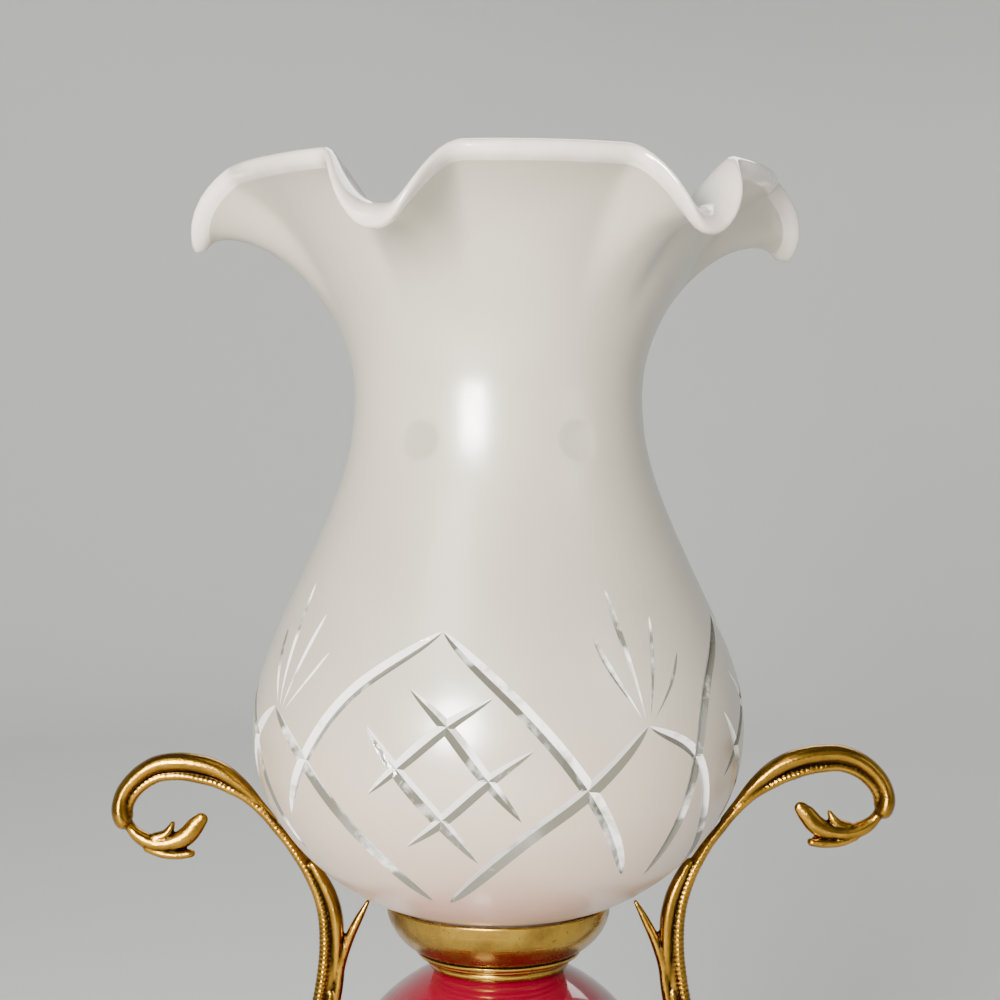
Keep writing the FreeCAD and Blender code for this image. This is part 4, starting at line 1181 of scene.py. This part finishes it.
def make_wick():
    """Flat woven wick: rounded edges, raised threads, a burnt and slightly uneven top."""
    foot, top = low("wick")[2], high("wick")[2]
    columns, rows = 44, 260
    rng = random.Random(SEED)
    frayed = [rng.uniform(-0.5, 0.0) for _ in range(columns)]
    points, faces = [], []
    for row in range(rows + 1):
        share = row / rows
        for column in range(columns):
            turn = 2 * math.pi * column / columns
            wide = math.copysign(abs(math.cos(turn)) ** 0.28, math.cos(turn)) * 7.85
            deep = math.copysign(abs(math.sin(turn)) ** 0.5, math.sin(turn)) * 0.86
            height = foot + (top - foot) * share + frayed[column] * max(0.0, share - 0.97) / 0.03
            thread = math.sin(2 * math.pi * wide / 1.6 + math.pi * (row % 2))
            weave = 0.10 * thread * math.sin(math.pi * row + 0.5)
            points.append((deep + math.copysign(weave, deep), wide, height))
    for row in range(rows):
        for column in range(columns):
            following = (column + 1) % columns
            here, there = row * columns, (row + 1) * columns
            faces.append((here + column, here + following, there + following, there + column))
    faces.append(tuple(range(columns))[::-1])
    faces.append(tuple(range(rows * columns, (rows + 1) * columns)))
    piece = new_object("woven_wick", points, faces, "wick", "cotton_wick", ["wick"])
    face_outwards(piece.data)
    burnt = [min(1.0, max(0.0, (v.co.z / MM - top + 6.0) / 4.0)) for v in piece.data.vertices]
    piece.data.attributes.new("scorch", "FLOAT", "POINT").data.foreach_set("value", burnt)


# ---- build

bore_bowl(make_turned_pieces())
make_shade()
make_handle("handle_right", 1)
make_handle("handle_left", -1)
make_felt()
make_wick()

for material, nodes in {
    "antique_brass": ("handle_screws", "wick_knob"),
    "burner_brass": ("shaft_bush", "shade_seat", "burner_barrel", "wick_tube", "vent_tube",
                     "air_diffuser", "flame_cone"),
    "steel": ("base_nut", "base_washer", "spacer_tube", "tie_rod", "cradle_nut", "wick_wheels",
              "wick_shaft"),
    "cast_iron": ("ballast_disc",),
    "plaster": ("font_cement",),
    "cork": ("burner_gasket",),
}.items():
    for node in nodes:
        give(node, material)


# ---- stage, lights


def paper(colour):
    s = Shader("pale_paper", Roughness=0.9)
    tone = s.remap(s.noise(1.2, 2.0, 0.5), 0.3, 0.7)
    s.feed("Base Color", s.mix(tone, colour, tuple(0.985 * c for c in colour)))


def make_stage():
    """Round floor that sweeps up into a wall on every side."""
    flat, sweep, top = 1.6, 0.6, 2.6
    profile = [(0.0, 0.0), (flat, 0.0)]
    for turn in np.linspace(0.08, math.pi / 2, 16):
        profile.append((flat + sweep * math.sin(turn), sweep - sweep * math.cos(turn)))
    profile.append((flat + sweep, top))
    count, ring = len(profile), 96
    points, faces = [], []
    for step in range(ring):
        turn = 2 * math.pi * step / ring
        points += [(r * math.cos(turn), r * math.sin(turn), z) for r, z in profile]
    for step in range(ring):
        here, there = step * count, ((step + 1) % ring) * count
        for index in range(count - 1):
            faces.append((here + index, there + index, there + index + 1, here + index + 1))
    mesh = bpy.data.meshes.new("studio")
    mesh.from_pydata(points, [], faces)
    studio = add_object("studio", mesh)
    paper((0.62, 0.63, 0.62))
    mesh.materials.append(MATERIALS["pale_paper"])
    mesh.polygons.foreach_set("use_smooth", [True] * len(mesh.polygons))


def area(name, power, size, place, target, colour=(1, 1, 1)):
    light = bpy.data.lights.new(name, "AREA")
    light.shape = "RECTANGLE"
    light.size, light.size_y = size
    light.energy = power
    light.color = colour
    lamp = add_object(name, light)
    lamp.location = place
    lamp.rotation_euler = (Vector(target) - Vector(place)).to_track_quat("-Z", "Y").to_euler()


make_stage()
area("key", 50, (0.32, 0.46), (-0.36, -1.04, 0.48), (0, 0, 0.31), (1.0, 0.965, 0.91))
area("high", 4, (0.5, 0.4), (-0.5, -0.75, 1.15), (0, 0, 0.28), (1.0, 0.97, 0.93))
area("fill", 3, (0.5, 1.0), (1.25, -0.75, 0.75), (0, 0, 0.25), (0.96, 0.98, 1.0))
area("back", 16, (1.4, 0.9), (0.5, 1.5, 1.6), (0, 0, 0.25))
world = bpy.data.worlds.new("soft_light")
world.use_nodes = True
world.node_tree.nodes["Background"].inputs["Color"].default_value = (0.86, 0.88, 0.88, 1)
world.node_tree.nodes["Background"].inputs["Strength"].default_value = 0.24
bpy.context.scene.world = world

camera = bpy.data.cameras.new("camera")
camera.lens = 68.4
camera.sensor_width = 36.0
camera.clip_start = 0.02
camera.shift_y = -0.07
viewer = add_object("camera", camera)
viewer.location = (0.0004, -0.5, EYE * MM)
viewer.rotation_euler = (math.radians(90), 0, 0)
bpy.context.scene.camera = viewer
